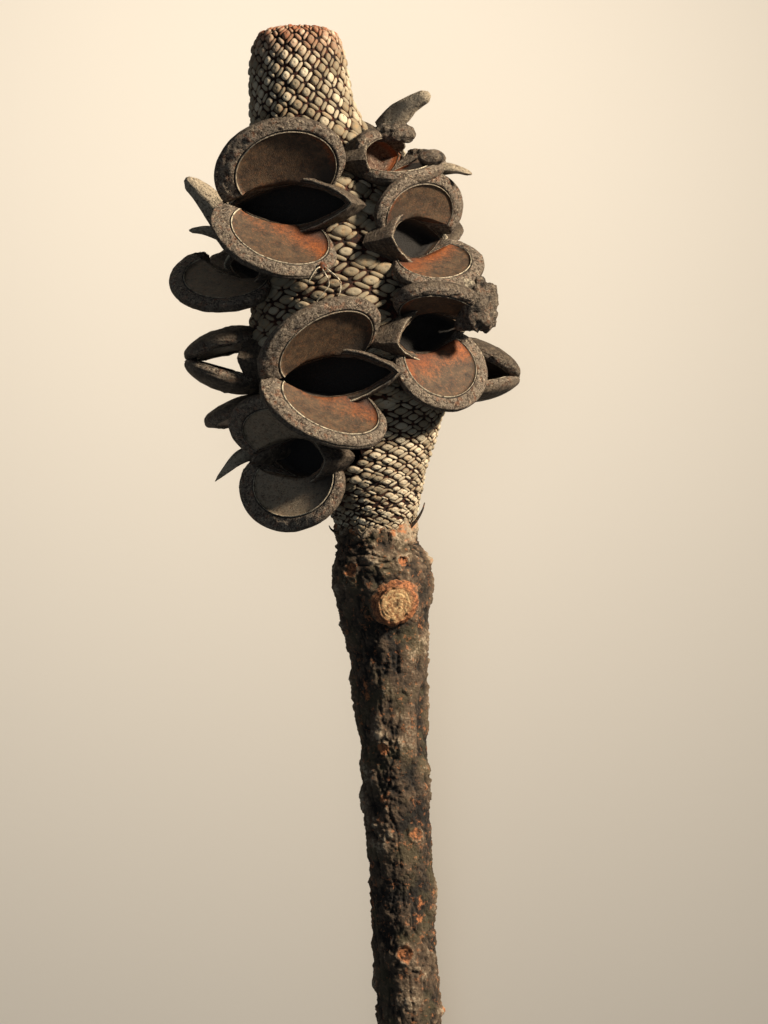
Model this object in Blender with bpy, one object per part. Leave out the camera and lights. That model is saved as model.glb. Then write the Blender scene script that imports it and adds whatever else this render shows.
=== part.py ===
"""A banksia cone with open follicles, lying on its back with its cut branch.

The cone is worked out lying flat, in millimetres: X across, Y towards the tip of the cone and Z up
to the side that is seen. It is then tipped by TILT, so that two follicles at the back and the cut
end of the branch touch the table, and moved so that the table is z = 0.
"""
import math
import random

import bmesh
import bpy
import numpy as np
from mathutils import Matrix, Vector

# Stations along the cone and the branch: place along Y, sideways place of the middle, radius (mm).
CONE_STATIONS = [
    (114.0, -20.2, 5.0), (112.3, -20.2, 7.6), (109.7, -20.2, 10.2), (106.2, -20.2, 10.9), (101.5, -20.0, 11.4),
    (96.8, -19.5, 11.8), (91.0, -18.3, 12.7), (85.0, -16.9, 13.9), (78.0, -15.0, 16.0), (69.8, -13.1, 18.3),
    (59.2, -11.0, 20.2), (47.5, -9.2, 21.2), (35.7, -7.8, 21.4), (27.5, -6.6, 20.7), (19.3, -4.9, 17.4),
    (11.0, -3.8, 13.5), (4.0, -2.8, 11.2), (-1.9, -2.1, 9.4), (-4.2, -1.8, 8.9),
]
TIP_PROFILE = [(113.9, 2.4), (113.4, 6.2), (112.1, 9.1), (109.7, 10.2)]
BRANCH_STATIONS = [
    (-4.6, -1.7, 8.8), (-8.9, -0.9, 10.4), (-13.6, -0.5, 12.3), (-17.0, -0.4, 12.2), (-20.7, -0.2, 11.6),
    (-30.1, 0.7, 9.9), (-44.2, 1.6, 8.7), (-58.3, 2.6, 8.3), (-79.4, 3.8, 8.0), (-102.9, 4.9, 7.8),
    (-120.3, 6.1, 7.8), (-139.0, 7.1, 7.7),
]
SCALE_COLUMNS = 14          # bract columns round the cone, fewer and larger than life
SCALE_PITCH = 2.95          # half a bract's height along the cone's side
SCALE_RISE = 0.85           # how far a bract stands out
SCALE_TOP = 0.60            # a bract's top face, as a part of its base
NECK = -4.2                 # where the cone ends and the branch begins
GAP = 0.35                  # clearance between a seated piece and its seat
PEG_RADIUS = 5.2            # the branch's core, which runs up into the cone
PEG_TOP = 4.5
PEG_MIDDLE = -2.0           # its sideways place
BARK_SIDES = 18
BARK_PITCH = 3.3            # how far apart the branch's rings are
BARK_ROUGH = 0.38           # how far the warty bark strays
CUT_BRANCH = (-21.6, 15, 3.4, 2.6)      # along, around, radius, how far it stands out
# Knots, scars and flakes of the bark: along, around, how wide, how high
KNOTS = [
    (-13.4, -38, 2.2, -0.9), (-11.8, 29, 1.8, 1.2), (-10.6, -7, 2.6, 0.8), (-10.6, 82, 1.8, 1.6),
    (-26.6, -76, 1.8, 1.1), (-52.0, -27, 1.8, 0.9), (-55.2, -18, 1.8, -0.9), (-66.3, -82, 1.8, 1.0),
    (-75.2, 30, 2.2, -0.8), (-103.0, 0, 2.6, -1.3), (-111.2, -80, 1.8, 1.0), (-117.0, 82, 2.0, 1.1),
    (-34.0, 150, 2.4, 1.1), (-70.0, 200, 2.4, 1.0), (-96.0, 130, 2.4, -0.9), (-124.0, 190, 2.2, 0.9),
]
SWELL = 2.0                 # how far the cone's surface rises round a follicle
TILT = 8.65                 # degrees that the cone's axis is tipped, tip up
SHIFT = (8.9, 12.5, 27.7)     # moves the tipped cone over the origin and down to the table, mm

RIM = 2.2                   # thickness of a valve at its lip
BULGE = 3.2                 # what a valve gains towards its middle
HOLLOW = 1.3                # depth of the seed lining
LIP = 0.76                  # where the lip band begins, as a part of the valve's reach
FOOT_DEPTH = 6.5            # how deep a follicle's foot sits under its hinge line
FLAT_ANGLES = (3.0, 2.0, 1.0, 0.5)   # faces this near to one plane are merged, degrees
FOOT_HALF = 6.6             # half the foot's height
RIM_RISE = 2.2              # how far its rim rises at the end that gapes


class Spec:
    """One follicle's named sizes and angles (mm, degrees)."""

    def __init__(self, name, along, around, **given):
        self.name = name
        self.along = along        # hinge's place along Y
        self.around = around      # round the cone from the seen side, + to the right
        self.out = 2.5            # hinge line above the cone's surface
        self.nod = 0.0            # leans towards the tip
        self.roll = 0.0
        self.side = 1             # which end gapes: 1 right, -1 left
        self.width = 28.0
        self.length = 20.0
        self.low_length = 1.0     # lower valve's length as a part of the upper one's
        self.up = 40.0            # opening angles of the two valves
        self.down = 40.0
        self.splay_up = 0.0
        self.splay_down = 0.0
        self.twist_up = 8.0
        self.twist_down = 8.0
        self.gape = 0.0
        self.curl = 1.2
        self.faces = 12
        self.broken = 1.0         # what is left of the upper valve's reach
        self.clear_of = ()        # neighbours that it makes room for
        self.spikes = []          # what is left of a broken valve: root, tip, half width, half thickness
        for key, value in given.items():
            setattr(self, key, value)


FOLLICLES = [
    Spec("follicle_01", 70.7, -22, side=1, out=2.7, nod=1, roll=-1, width=31.0, length=21.0,
         up=45, down=30, splay_up=4, splay_down=10, twist_up=22, twist_down=18, faces=14),
    Spec("follicle_02", 31.0, -11, side=1, out=2.8, nod=-3, roll=4, width=31.0, length=21.0,
         up=34, down=27, splay_up=6, splay_down=6, twist_up=24, twist_down=25, faces=14),
    Spec("follicle_03", 12.7, -57, side=1, out=4.0, nod=-7, roll=-2, width=29.5, length=18.5,
         up=41, down=56, splay_up=3, splay_down=-3, twist_up=15, twist_down=23, faces=14),
    Spec("follicle_04", 63.5, 59, side=-1, out=2.4, nod=9, roll=4, width=28.5, length=16.0,
         up=52, down=30, splay_up=0, splay_down=10, twist_up=13, twist_down=7, faces=14),
    Spec("follicle_05", 41.4, 53, side=-1, out=1.7, nod=-1, roll=10, width=30.0, length=14.0,
         low_length=1.30, up=20, down=55, splay_up=8, splay_down=5, twist_up=16, twist_down=2, faces=14,
         clear_of=("follicle_02", "follicle_04")),
    Spec("follicle_06", 82.5, 62, side=-1, out=2.5, nod=7, roll=8, width=24.0, length=15.5,
         up=40, down=12, twist_up=6, twist_down=12, broken=0.42, clear_of=("follicle_04",),
         spikes=[((0.0, 6.3, 3.5), (0.5, 12.5, 15.5), 1.5, 2.8), ((5.0, -4.5, 8.0), (6.0, -7.5, 20.0), 3.0, 2.0)]),
    Spec("follicle_07", 58.5, -66, side=1, out=1.6, nod=4, width=30.0, length=19.5,
         up=44, down=20, splay_up=2, splay_down=4, twist_up=0, twist_down=22, faces=14, broken=0.40,
         spikes=[((-5.0, 6.4, 3.0), (-5.0, 18.0, 15.5), 4.4, 2.3), ((-9.5, 5.6, 1.5), (-9.0, 6.5, 12.5), 3.0, 1.6)],
         clear_of=("follicle_01",)),
    Spec("follicle_08", 35.7, -94, side=1, out=1.0, nod=0, width=27.0, length=17.0, up=-11, down=-12,
         gape=3.8, twist_up=2, twist_down=2),
    Spec("follicle_09", 21.5, -112, side=1, out=1.0, nod=-31, width=23.0, length=18.5, up=12, down=10,
         gape=3.4, twist_up=2, twist_down=2, clear_of=("follicle_03", "follicle_08"),
         spikes=[((7.0, -3.5, 7.5), (8.2, -4.7, 20.0), 2.2, 2.2)]),
    Spec("follicle_10", 34.0, 110, side=-1, out=1.2, nod=-6, width=25.0, length=19.5, up=-12, down=-12,
         gape=3.8, twist_up=2, twist_down=2, clear_of=("follicle_05",)),
    Spec("follicle_11", 83.0, 164, side=-1, out=1.0, nod=2, width=22.0, length=15.0, up=34, down=30,
         twist_up=3, twist_down=3),
    Spec("follicle_12", 65.0, -143, side=1, out=2.6, nod=5, width=26.0, length=23.0, up=20, down=18,
         twist_up=3, twist_down=3),
    Spec("follicle_13", 60.0, 143, side=-1, out=2.0, nod=0, width=26.0, length=22.0, up=20, down=18,
         twist_up=3, twist_down=3),
    Spec("follicle_14", 33.0, 180, side=1, out=1.0, nod=0, width=27.0, length=16.5, up=64, down=60,
         twist_up=3, twist_down=3),
]


def between(stations, y):
    """Middle and radius of the cone or branch at y."""
    ys = [row[0] for row in stations][::-1]
    middle = np.interp(y, ys, [row[1] for row in stations][::-1])
    radius = np.interp(y, ys, [row[2] for row in stations][::-1])
    return float(middle), float(radius)


def turned(vector, axis, degrees):
    """The vector turned about an axis."""
    return Matrix.Rotation(math.radians(degrees), 3, axis) @ vector


class Frame:
    """A follicle's place on the cone: n outwards, w across, s towards the cone's tip."""

    def __init__(self, spec):
        middle, radius = between(CONE_STATIONS, spec.along)
        a = math.radians(spec.around)
        radial = Vector((math.sin(a), 0.0, math.cos(a)))
        across = Vector((math.cos(a), 0.0, -math.sin(a)))
        tip = Vector((0.0, 1.0, 0.0))
        self.n = turned(radial, across, -spec.nod)
        self.s = turned(tip, across, -spec.nod)
        self.w = turned(across, self.n, spec.roll)
        self.s = turned(self.s, self.n, spec.roll)
        self.origin = Vector((middle, spec.along, 0.0)) + radial * (radius + spec.out)
        self.spec = spec

    def point(self, x, y, z):
        """A point from its place across, along and out."""
        return self.origin + self.w * x + self.s * y + self.n * z

    def valve(self, upper):
        """Hinge, and the valve's own axes: across, towards the lip, and outwards from the mouth."""
        spec = self.spec
        sign = 1 if upper else -1
        half = spec.width / 2
        splay = (spec.splay_up if upper else spec.splay_down) * sign * spec.side
        across = turned(self.w, self.n, splay)
        along = turned(self.s, self.n, splay)
        hinge = self.origin + (across - self.w) * (spec.side * half) + self.s * (spec.gape * sign)
        angle = (spec.up if upper else spec.down) * sign
        reach = turned(self.n, across, -angle)
        face = turned(along, across, -angle) * sign
        twist = (spec.twist_up if upper else spec.twist_down) * sign * spec.side
        return hinge, turned(across, reach, twist), reach, turned(face, reach, twist)


def new_mesh(name, verts, faces):
    """A mesh object with outward faces."""
    mesh = bpy.data.meshes.new(name)
    mesh.from_pydata([tuple(v) for v in verts], [], faces)
    mesh.update()
    obj = bpy.data.objects.new(name, mesh)
    bpy.context.collection.objects.link(obj)
    bm = bmesh.new()
    bm.from_mesh(mesh)
    bmesh.ops.recalc_face_normals(bm, faces=bm.faces)
    bm.to_mesh(mesh)
    bm.free()
    return obj


def rings_to_mesh(name, rings, start=None, end=None):
    """Skins a row of rings and closes both ends, with a middle point where one is given."""
    count = len(rings[0])
    verts = [v for ring in rings for v in ring]
    faces = []
    for j in range(len(rings) - 1):
        for i in range(count):
            k = (i + 1) % count
            faces.append((j * count + i, j * count + k, (j + 1) * count + k, (j + 1) * count + i))
    last = (len(rings) - 1) * count
    if start is None:
        faces.append(tuple(range(count - 1, -1, -1)))
    else:
        verts.append(start)
        faces += [((i + 1) % count, i, len(verts) - 1) for i in range(count)]
    if end is None:
        faces.append(tuple(last + i for i in range(count)))
    else:
        verts.append(end)
        faces += [(last + i, last + (i + 1) % count, len(verts) - 1) for i in range(count)]
    return new_mesh(name, verts, faces)


def valve_mesh(frame, upper, grow=0.0):
    """One thick egg-shaped valve: a hollow lining inside a flat lip, and a rounded back."""
    spec = frame.spec
    hinge, across, reach, face = frame.valve(upper)
    length = spec.length * (spec.broken if upper else spec.low_length)
    half = spec.width / 2 * (0.85 if upper and spec.broken < 1.0 else 1.0)
    middle = 0.38 * length
    top = length - middle
    low = middle + 3.0

    def place(angle, rho, depth, extra=0.0):
        s = math.sin(angle)
        x = (half * rho + extra) * math.cos(angle)
        y = middle + ((top if s > 0 else low) * rho + extra) * s
        bend = spec.curl * max(0.0, y / length) ** 2 * (1 if spec.up > 0 else -1)
        return hinge + across * x + reach * y + face * (depth + bend)

    angles = [2 * math.pi * i / spec.faces for i in range(spec.faces)]
    inner = [(1.0, 0.0), (LIP, 0.15), (0.45, 0.8 * HOLLOW)]
    outer = [(1.0, RIM), (0.62, RIM + 0.72 * BULGE)]
    rings = []
    for rho, depth in reversed(inner):
        rings.append([place(a, rho, depth - grow, grow if rho == 1.0 else 0.0) for a in angles])
    for rho, depth in outer:
        rings.append([place(a, rho, depth + grow, grow if rho == 1.0 else 0.0) for a in angles])
    start = place(0.0, 0.0, HOLLOW - grow)
    end = place(0.0, 0.0, RIM + BULGE + grow)
    return rings_to_mesh("valve", rings, start, end)


def lens(frame, half, height, rise, count, shift=0.0):
    """A ring round the mouth, pointed at both ends, at a height given by rise(x)."""
    ring = []
    for i in range(count):
        a = 2 * math.pi * i / count
        u = math.cos(a)
        y = height * math.copysign((1.0 - abs(u) ** 1.7) ** 0.85, math.sin(a)) if abs(u) < 0.9999 else 0.0
        ring.append(frame.point(half * u + shift, y, rise(u * frame.spec.side)))
    return ring


def foot_mesh(frame, grow=0.0):
    """The follicle's foot, sunk in the cone body, with its rim raised at the end that gapes."""
    spec = frame.spec
    half = spec.width / 2 + 0.8 + grow
    height = FOOT_HALF + abs(spec.gape) * 0.25 + grow
    count = spec.faces
    rings = [
        lens(frame, half * 0.84, height * 0.84, lambda u: -FOOT_DEPTH - grow, count),
        lens(frame, half, height, lambda u: -FOOT_DEPTH * 0.4, count),
        lens(frame, half, height, lambda u: 0.6 + RIM_RISE * max(0.0, u) ** 2 + (3.0 if grow else 0.0), count),
    ]
    return rings_to_mesh("foot", rings)


def mouth_mesh(frame):
    """What is cut from the foot and the valves' roots, so that the follicle is hollow."""
    spec = frame.spec
    half = spec.width / 2 - 1.6
    height = FOOT_HALF - 2.1 + abs(spec.gape) * 0.25
    deep = 1.2 - FOOT_DEPTH * 0.8
    rings = [
        lens(frame, half * 0.8, height * 0.7, lambda u: deep, 10),
        lens(frame, half, height, lambda u: 1.0, 10),
        lens(frame, half, height * 1.1, lambda u: 8.0, 10),
    ]
    return rings_to_mesh("mouth", rings)


def boolean(target, cutter, operation):
    """Joins or cuts by the exact solver, and by the manifold one where that goes wrong.

    Each further try moves the second piece by a hundredth of a millimetre, off any shared edge.
    """
    before = target.data
    size = volume(before)
    other = volume(cutter.data)
    for attempt in range(8):
        solver = "EXACT" if attempt % 2 == 0 else "MANIFOLD"
        if attempt:
            cutter.data.transform(Matrix.Translation((0.011, 0.017, 0.007)))
        modifier = target.modifiers.new("boolean", "BOOLEAN")
        modifier.operation = operation
        modifier.solver = solver
        modifier.object = cutter
        graph = bpy.context.evaluated_depsgraph_get()
        result = bpy.data.meshes.new_from_object(target.evaluated_get(graph))
        target.modifiers.remove(modifier)
        after = volume(result)
        if operation == "UNION":
            fair = max(size, other) * 0.999 <= after <= (size + other) * 1.001
        else:
            fair = size - other * 1.01 <= after <= size * 1.001
        if fair:
            break
    if not fair:
        raise RuntimeError(f"{operation} of {target.name} and {cutter.name}: {size:.0f} {other:.0f} {after:.0f}")
    target.data = result
    bpy.data.meshes.remove(before)
    bpy.data.objects.remove(cutter, do_unlink=True)
    return target


def in_triangles(bm):
    """Splits the faces into triangles; true where every edge then has just two."""
    for method in ("BEAUTY", "EAR_CLIP"):
        trial = bm.copy()
        bmesh.ops.triangulate(trial, faces=trial.faces, ngon_method=method)
        whole = all(len(edge.link_faces) == 2 for edge in trial.edges)
        trial.free()
        if whole:
            bmesh.ops.triangulate(bm, faces=bm.faces, ngon_method=method)
            return True
    return False


def volume(mesh):
    """Puts a mesh in triangles and returns its volume, or less than nothing where it isn't closed."""
    bm = bmesh.new()
    bm.from_mesh(mesh)
    size = -1.0e9
    if in_triangles(bm):
        size = bm.calc_volume(signed=True)
        bm.to_mesh(mesh)
    bm.free()
    return size


def simplify(obj):
    """Merges faces that lie in one plane, where the piece stays closed and keeps its volume."""
    size = volume(obj.data)
    for angle in FLAT_ANGLES:
        bm = bmesh.new()
        bm.from_mesh(obj.data)
        bmesh.ops.dissolve_limit(bm, angle_limit=math.radians(angle), verts=bm.verts, edges=bm.edges)
        if in_triangles(bm) and abs(bm.calc_volume(signed=True) - size) < 0.004 * size:
            bm.to_mesh(obj.data)
            bm.free()
            return
        bm.free()


def largest_piece(obj):
    """Drops loose scraps that a cut left behind, and welds what nearly meets."""
    bm = bmesh.new()
    bm.from_mesh(obj.data)
    seen = set()
    pieces = []
    for face in bm.faces:
        if face.index in seen:
            continue
        group = []
        stack = [face]
        seen.add(face.index)
        while stack:
            one = stack.pop()
            group.append(one)
            for edge in one.edges:
                for other in edge.link_faces:
                    if other.index not in seen:
                        seen.add(other.index)
                        stack.append(other)
        pieces.append(group)
    pieces.sort(key=lambda group: -sum(face.calc_area() for face in group))
    loose = [face for group in pieces[1:] for face in group]
    bmesh.ops.delete(bm, geom=loose, context="FACES")
    bm.to_mesh(obj.data)
    bm.free()
    return obj


def swell(y, angle, radius, places):
    """How far the surface rises near the follicles."""
    total = 0.0
    for along, around, wide in places:
        turn = (angle - around + math.pi) % (2 * math.pi) - math.pi
        across = turn * radius / (wide * 0.52)
        up = (y - along) / 9.5
        total = max(total, math.exp(-(across * across + up * up)))
    return SWELL * total


def cone_body():
    """The woody spike with its lattice of bracts, and a hole for the branch's core."""
    places = [(s.along, math.radians(s.around), s.width) for s in FOLLICLES]
    path = TIP_PROFILE + [(row[0], row[2]) for row in CONE_STATIONS[3:]]
    steps = [0.0]
    for a, b in zip(path, path[1:]):
        steps.append(steps[-1] + math.hypot(a[0] - b[0], a[1] - b[1]))
    rows = int(round(steps[-1] / SCALE_PITCH))
    n = SCALE_COLUMNS
    verts = []
    for j in range(rows + 1):
        at = steps[-1] * (1 - j / rows)
        y = float(np.interp(at, steps, [p[0] for p in path]))
        r = float(np.interp(at, steps, [p[1] for p in path]))
        middle = between(CONE_STATIONS, y)[0]
        for i in range(n):
            a = 2 * math.pi * (i + 0.5 * (j % 2)) / n
            rise = swell(y, a, r, places) * min(1.0, max(0.0, (y - NECK) / 10.0))
            verts.append((middle + (r + rise) * math.sin(a), y, (r + rise) * math.cos(a)))
    scales = []
    for j in range(rows - 1):
        odd = j % 2
        for i in range(n):
            left = (j + 1) * n + (i if odd else (i - 1) % n)
            right = (j + 1) * n + ((i + 1) % n if odd else i)
            scales.append((j * n + i, right, (j + 2) * n + i, left))
    ends = [tuple(range(n)), tuple(rows * n + i for i in range(n))]
    for i in range(n):
        ends.append((i, (i + 1) % n, n + i))
        below = (rows - 1) * n + ((i + 1) % n if rows % 2 else i)
        ends.append((rows * n + i, rows * n + (i + 1) % n, below))
    obj = new_mesh("cone_body", verts, scales + ends)
    bm = bmesh.new()
    bm.from_mesh(obj.data)
    bm.faces.ensure_lookup_table()
    draw = random.Random(4)
    raised = bmesh.ops.extrude_discrete_faces(bm, faces=bm.faces[:len(scales)])
    for face in raised["faces"]:
        centre = face.calc_center_median()
        normal = face.normal.copy()
        rise = min(SCALE_RISE, 0.24 * math.sqrt(face.calc_area())) * draw.uniform(0.8, 1.15)
        for vert in face.verts:
            vert.co = centre + (vert.co - centre) * SCALE_TOP + normal * rise
    bm.to_mesh(obj.data)
    bm.free()
    hole = post("hole", PEG_RADIUS + GAP, NECK - 6.0, PEG_TOP + GAP)
    return boolean(obj, hole, "DIFFERENCE")


def post(name, radius, low, high):
    """A round post along Y."""
    bm = bmesh.new()
    bmesh.ops.create_cone(
        bm, cap_ends=True, segments=16, radius1=radius, radius2=radius, depth=high - low,
        matrix=Matrix.Translation((PEG_MIDDLE, (low + high) / 2, 0.0)) @ Matrix.Rotation(math.pi / 2, 4, "X"))
    mesh = bpy.data.meshes.new(name)
    bm.to_mesh(mesh)
    bm.free()
    obj = bpy.data.objects.new(name, mesh)
    bpy.context.collection.objects.link(obj)
    return obj


def stem():
    """The bark-covered branch, with the core that runs up into the cone and a cut side branch."""
    draw = random.Random(11)
    rings = []
    for y, radius in ((PEG_TOP, PEG_RADIUS - 0.6), (PEG_TOP - 0.6, PEG_RADIUS), (NECK - GAP, PEG_RADIUS)):
        rings.append([
            Vector((PEG_MIDDLE + radius * math.sin(2 * math.pi * i / BARK_SIDES), y,
                    radius * math.cos(2 * math.pi * i / BARK_SIDES)))
            for i in range(BARK_SIDES)])
    low = BRANCH_STATIONS[-1][0]
    high = NECK - GAP
    count = int(round((high - low) / BARK_PITCH))
    for j in range(count + 1):
        y = high + (low - high) * j / count
        middle, radius = between(BRANCH_STATIONS, y)
        ring = []
        for i in range(BARK_SIDES):
            a = 2 * math.pi * (i + 0.5 * (j % 2)) / BARK_SIDES
            edge = 0.3 if j in (0, count) else 1.0
            r = radius + draw.uniform(-BARK_ROUGH, BARK_ROUGH) * edge
            for along, around, wide, high_by in KNOTS:
                turn = (a - math.radians(around) + math.pi) % (2 * math.pi) - math.pi
                r += high_by * math.exp(-((y - along) ** 2 + (turn * radius) ** 2) / wide ** 2)
            ring.append(Vector((middle + r * math.sin(a), y, r * math.cos(a))))
        rings.append(ring)
    obj = rings_to_mesh("stem", rings)
    along, around, radius, reach = CUT_BRANCH
    middle, thick = between(BRANCH_STATIONS, along)
    a = math.radians(around)
    outward = Vector((math.sin(a), -0.12, math.cos(a))).normalized()
    at = Vector((middle, along, 0.0)) + outward * (thick + reach / 2 - 2.0)
    bm = bmesh.new()
    spin = Vector((0.0, 0.0, 1.0)).rotation_difference(outward).to_matrix().to_4x4()
    bmesh.ops.create_cone(
        bm, cap_ends=True, segments=12, radius1=radius * 1.25, radius2=radius, depth=reach + 4.0,
        matrix=Matrix.Translation(at) @ spin)
    mesh = bpy.data.meshes.new("cut_branch")
    bm.to_mesh(mesh)
    bm.free()
    cut = bpy.data.objects.new("cut_branch", mesh)
    bpy.context.collection.objects.link(cut)
    return boolean(obj, cut, "UNION")


def spike_mesh(frame, spike, grow=0.0):
    """What is left of a broken valve: a tapered, slightly bent spike."""
    root, tip, wide, thick = spike
    root = frame.point(*root)
    tip = frame.point(*tip)
    run = tip - root
    side = run.cross(frame.w).normalized()
    flat = side.cross(run).normalized()
    rings = []
    for k, (t, part) in enumerate(((0.0, 1.0), (0.35, 0.86), (0.7, 0.52))):
        at = root + run * t + side * (0.9 * math.sin(math.pi * t))
        rings.append([at + flat * ((wide * part + grow) * math.cos(a)) + side * ((thick * part + grow) * math.sin(a))
                      for a in (2 * math.pi * i / 8 for i in range(8))])
    return rings_to_mesh("spike", rings, None, tip + run.normalized() * grow)


def follicle(spec, grow=0.0):
    """One follicle: foot and two valves joined, with the mouth cut out."""
    frame = Frame(spec)
    obj = foot_mesh(frame, grow)
    pieces = [valve_mesh(frame, True, grow), valve_mesh(frame, False, grow)]
    pieces += [spike_mesh(frame, spike, grow) for spike in spec.spikes]
    for piece in pieces:
        boolean(obj, piece, "UNION")
    if grow == 0.0:
        boolean(obj, mouth_mesh(frame), "DIFFERENCE")
    obj.name = spec.name if grow == 0.0 else spec.name + "_seat"
    return obj


def settle(obj):
    """Tips the piece to how it lies, moves it over the origin and turns millimetres into metres."""
    turn = Matrix.Rotation(math.radians(TILT), 4, "X")
    obj.data.transform(Matrix.Scale(0.001, 4) @ Matrix.Translation(SHIFT) @ turn)
    obj.data.update()
    if min(v.co.z for v in obj.data.vertices) < 0.0:
        bm = bmesh.new()
        bm.from_mesh(obj.data)
        geom = bm.verts[:] + bm.edges[:] + bm.faces[:]
        cut = bmesh.ops.bisect_plane(bm, geom=geom, plane_co=(0, 0, 0), plane_no=(0, 0, 1), clear_inner=True)
        edges = [e for e in cut["geom_cut"] if isinstance(e, bmesh.types.BMEdge)]
        bmesh.ops.holes_fill(bm, edges=edges, sides=0)
        bmesh.ops.triangulate(bm, faces=bm.faces)
        bmesh.ops.recalc_face_normals(bm, faces=bm.faces)
        bm.to_mesh(obj.data)
        bm.free()


def paint(obj, name, colour, roughness):
    """Gives the piece its own plain material."""
    material = bpy.data.materials.new(name)
    material.use_nodes = True
    shader = material.node_tree.nodes["Principled BSDF"]
    shader.inputs["Base Color"].default_value = (*colour, 1.0)
    shader.inputs["Roughness"].default_value = roughness
    shader.inputs["Metallic"].default_value = 0.0
    obj.data.materials.clear()
    obj.data.materials.append(material)


def main():
    """Builds every piece and sets it down."""
    for obj in list(bpy.data.objects):
        bpy.data.objects.remove(obj, do_unlink=True)
    home = bpy.data.collections.new("banksia_cone")
    bpy.context.scene.collection.children.link(home)
    layer = bpy.context.view_layer.layer_collection.children["banksia_cone"]
    bpy.context.view_layer.active_layer_collection = layer
    branch = stem()
    body = cone_body()
    fruits = []
    for spec in FOLLICLES:
        seat = follicle(spec, GAP)
        boolean(body, seat, "DIFFERENCE")
        fruits.append(follicle(spec))
        for neighbour in FOLLICLES:
            if neighbour.name in spec.clear_of:
                boolean(fruits[-1], follicle(neighbour, GAP), "DIFFERENCE")
    for obj in [body, branch] + fruits:
        largest_piece(obj)
        simplify(obj)
        settle(obj)
    paint(branch, "bark", (0.16, 0.125, 0.10), 0.9)
    paint(body, "bracts", (0.42, 0.36, 0.27), 0.85)
    for obj in fruits:
        paint(obj, obj.name + "_wood", (0.24, 0.16, 0.10), 0.8)


main()
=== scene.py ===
"""A banksia cone with open follicles on its branch, in full detail, on a plain pale table.

The pieces are worked out lying flat, in millimetres: X across, Y towards the tip of the cone and Z
up to the side that is seen. `settled` then tips them by TILT and sets them down on the table.
"""
import logging
import math
from dataclasses import dataclass, field
from enum import Enum

import bmesh
import bpy
import numpy as np
from mathutils import Matrix, Vector


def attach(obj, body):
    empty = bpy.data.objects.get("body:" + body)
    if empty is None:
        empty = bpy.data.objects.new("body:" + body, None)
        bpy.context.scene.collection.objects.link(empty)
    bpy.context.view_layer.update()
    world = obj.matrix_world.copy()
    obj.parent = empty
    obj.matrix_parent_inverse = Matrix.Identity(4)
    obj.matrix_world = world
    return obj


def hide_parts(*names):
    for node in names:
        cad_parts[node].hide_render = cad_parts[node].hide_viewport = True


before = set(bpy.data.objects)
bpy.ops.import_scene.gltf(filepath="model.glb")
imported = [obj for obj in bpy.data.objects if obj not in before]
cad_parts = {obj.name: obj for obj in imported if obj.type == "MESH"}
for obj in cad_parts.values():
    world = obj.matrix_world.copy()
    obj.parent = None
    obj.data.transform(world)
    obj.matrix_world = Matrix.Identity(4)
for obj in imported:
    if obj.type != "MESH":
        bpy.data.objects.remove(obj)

Array = np.ndarray
LOG = logging.getLogger("banksia_cone")

TILT = 8.65                     # degrees that the cone's axis is tipped, tip up
SHIFT = (8.9, 12.5, 27.7)       # moves the tipped cone over the origin and down to the table, mm
NECK = -4.2                     # where the cone ends and the branch begins
CONE_STATIONS = (               # place along Y, sideways place of the middle, radius (mm)
    (114.0, -20.2, 5.0), (112.3, -20.2, 7.6), (109.7, -20.2, 10.2), (106.2, -20.2, 10.9),
    (101.5, -20.0, 11.4), (96.8, -19.5, 11.8), (91.0, -18.3, 12.7), (85.0, -16.9, 13.9),
    (78.0, -15.0, 16.0), (69.8, -13.1, 18.3),
    (59.2, -11.0, 20.2), (47.5, -9.2, 21.2), (35.7, -7.8, 21.4), (27.5, -6.6, 20.7), (19.3, -4.9, 17.4),
    (11.0, -3.8, 13.5), (4.0, -2.8, 11.2), (-1.9, -2.1, 9.4), (-4.2, -1.8, 8.9),
)
TIP_PROFILE = ((113.9, 2.4), (113.4, 6.2), (112.1, 9.1), (109.7, 10.2))    # place along Y, radius
BRANCH_TOP, BRANCH_END = -3.0, -139.0   # along Y: inside the neck, and at the cut face
BRANCH_STATIONS = (             # as for the cone
    (-3.2, -1.8, 8.6), (-8.9, -0.9, 10.4), (-13.6, -0.5, 12.3), (-17.0, -0.4, 12.2), (-20.7, -0.2, 11.6),
    (-30.1, 0.7, 9.9), (-44.2, 1.6, 8.7), (-58.3, 2.6, 8.3), (-79.4, 3.8, 8.0), (-102.9, 4.9, 7.8),
    (-120.3, 6.1, 7.8), (-139.0, 7.1, 7.7),
)
RIM = 2.2                       # thickness of a valve at its lip
BULGE = 3.2                     # what a valve gains towards its middle
HOLLOW = 1.3                    # depth of the seed lining
HEART = 0.38                    # where the middle of a valve lies, in parts of its length
ROOT = 3.0                      # how far a valve reaches back past its hinge
FOOT_HALF = 6.6                 # half the foot's height
FOOT_SPARE = 0.8                # how far the foot stands out past the valves at either end
GAPE_SPREAD = 0.25              # what the foot's half height gains for each mm that the valves part
OVAL_FULL, OVAL_BLUNT = 1.7, 0.85   # how full the foot's pointed oval is, and how blunt its ends
RIM_RISE = 2.2                  # how far its rim rises at the end that gapes
SWELL = 2.0                     # how far the cone rises round a follicle
SQUARE = 2.7                    # how square a bract's outline is, where 2 is round


def tone(code: str) -> tuple[float, float, float, float]:
    """Turns a display colour into the linear one that a shader takes.

    Args:
        code: Six hexadecimal digits.

    Returns:
        Red, green, blue and alpha.
    """
    parts = [int(code[i:i + 2], 16) / 255 for i in (0, 2, 4)]
    linear = [v / 12.92 if v <= 0.04045 else ((v + 0.055) / 1.055) ** 2.4 for v in parts]
    return (linear[0], linear[1], linear[2], 1.0)


# ---- Shapes in numbers


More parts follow.
